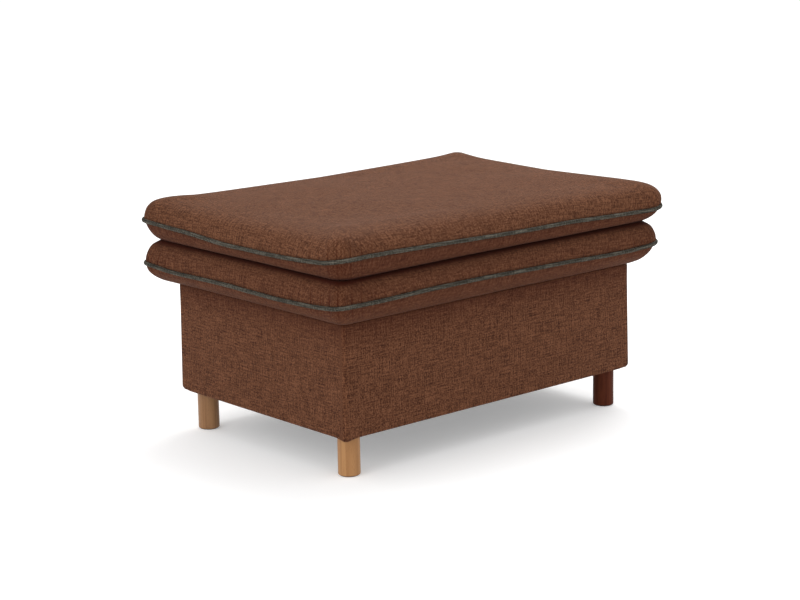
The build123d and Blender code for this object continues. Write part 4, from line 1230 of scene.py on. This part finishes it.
# The disc's profile from its middle below to its middle above: shares of its radius and its thickness.
disc_profile = [(0.0, 0.0), (0.5, 0.0), (0.93, 0.0), (0.985, 0.25), (1.0, 0.55), (0.98, 0.85), (0.93, 1.0),
                (0.5, 1.0), (0.0, 1.0)]
disc_points, disc_faces = [], []
turns = np.arange(disc_sides) * 2 * math.pi / disc_sides
for x, y in leg_places:
    uneven = 1 + 0.006 * np.sin(turns * 5 + x * 40) + 0.006 * np.sin(turns * 11 + y * 30)
    start = sum(len(rows) for rows in disc_points)
    for share, level in disc_profile:
        radius = disc_radius * max(share, 0.02) * (uneven if share > 0.6 else 1)
        disc_points.append(at_height(x + radius * np.cos(turns), y + radius * np.sin(turns),
                                     disc_low.z + level * (disc_high.z - disc_low.z)))
    disc_faces += ring_faces(len(disc_profile), disc_sides, start)
    disc_faces.append(cap(start, disc_sides)[::-1])
    disc_faces.append(cap(start + (len(disc_profile) - 1) * disc_sides, disc_sides))
discs = new_piece("felt_leg_discs", np.vstack(disc_points), disc_faces)
dress(discs, "base", felt)
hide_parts("leg_glides")
print("felt discs", len(discs.data.vertices), "points")

# %% [markdown]
# Under the box the dust cloth is stapled to the frame. A staple is a flat wire bent twice, with its back
# on the cloth and its legs in the wood.
# %% Staples
staple_wide = 10 * MM
staple_pitch = 46 * MM
staple_from_edge = 6 * MM
staple_from_corner = 50 * MM
wire_half_width, wire_half_thick = 0.48 * MM, 0.24 * MM
# The wire's run: places along the staple, as a share of its width, and the lift in mm over its back.
wire_run = [(-0.5, 2.2), (-0.5, 0.25), (-0.44, 0), (0.44, 0), (0.5, 0.25), (0.5, 2.2)]
staple_points, staple_faces = [], []
edge_x, edge_y = dust_high.x - staple_from_edge, dust_high.y - staple_from_edge
spots = []
for side, half, other in ((0, edge_x, edge_y), (1, edge_y, edge_x)):
    for place in np.arange(-half + staple_from_corner, half - staple_from_corner + 1 * MM, staple_pitch):
        for sign in (-1, 1):
            tilt = 0.18 * math.sin(place * 91 + sign)
            if side == 0:
                spots.append((place, sign * other, tilt))
            else:
                spots.append((sign * other, place, tilt + math.pi / 2))
for x, y, turn in spots:
    along = np.array([math.cos(turn), math.sin(turn), 0])
    over = np.array([-math.sin(turn), math.cos(turn), 0])
    back_z = dust_low.z - 0.7 * MM
    start = len(staple_points)
    for share, lift in wire_run:
        centre = np.array([x, y, back_z + lift * MM]) + along * share * staple_wide
        level = abs(share) < 0.47
        outward = np.array([0, 0, -1.0]) if level else along * math.copysign(1, share)
        for a, b in ((-1, -1), (1, -1), (1, 1), (-1, 1)):
            staple_points.append(centre + over * a * wire_half_width + outward * b * wire_half_thick)
    staple_faces += ring_faces(len(wire_run), 4, start)
    staple_faces.append(cap(start, 4)[::-1])
    staple_faces.append(cap(start + (len(wire_run) - 1) * 4, 4))
staples = new_piece("dust_cloth_staples", staple_points, staple_faces)
dress(staples, "base", zinc_steel)
print(len(spots), "staples")
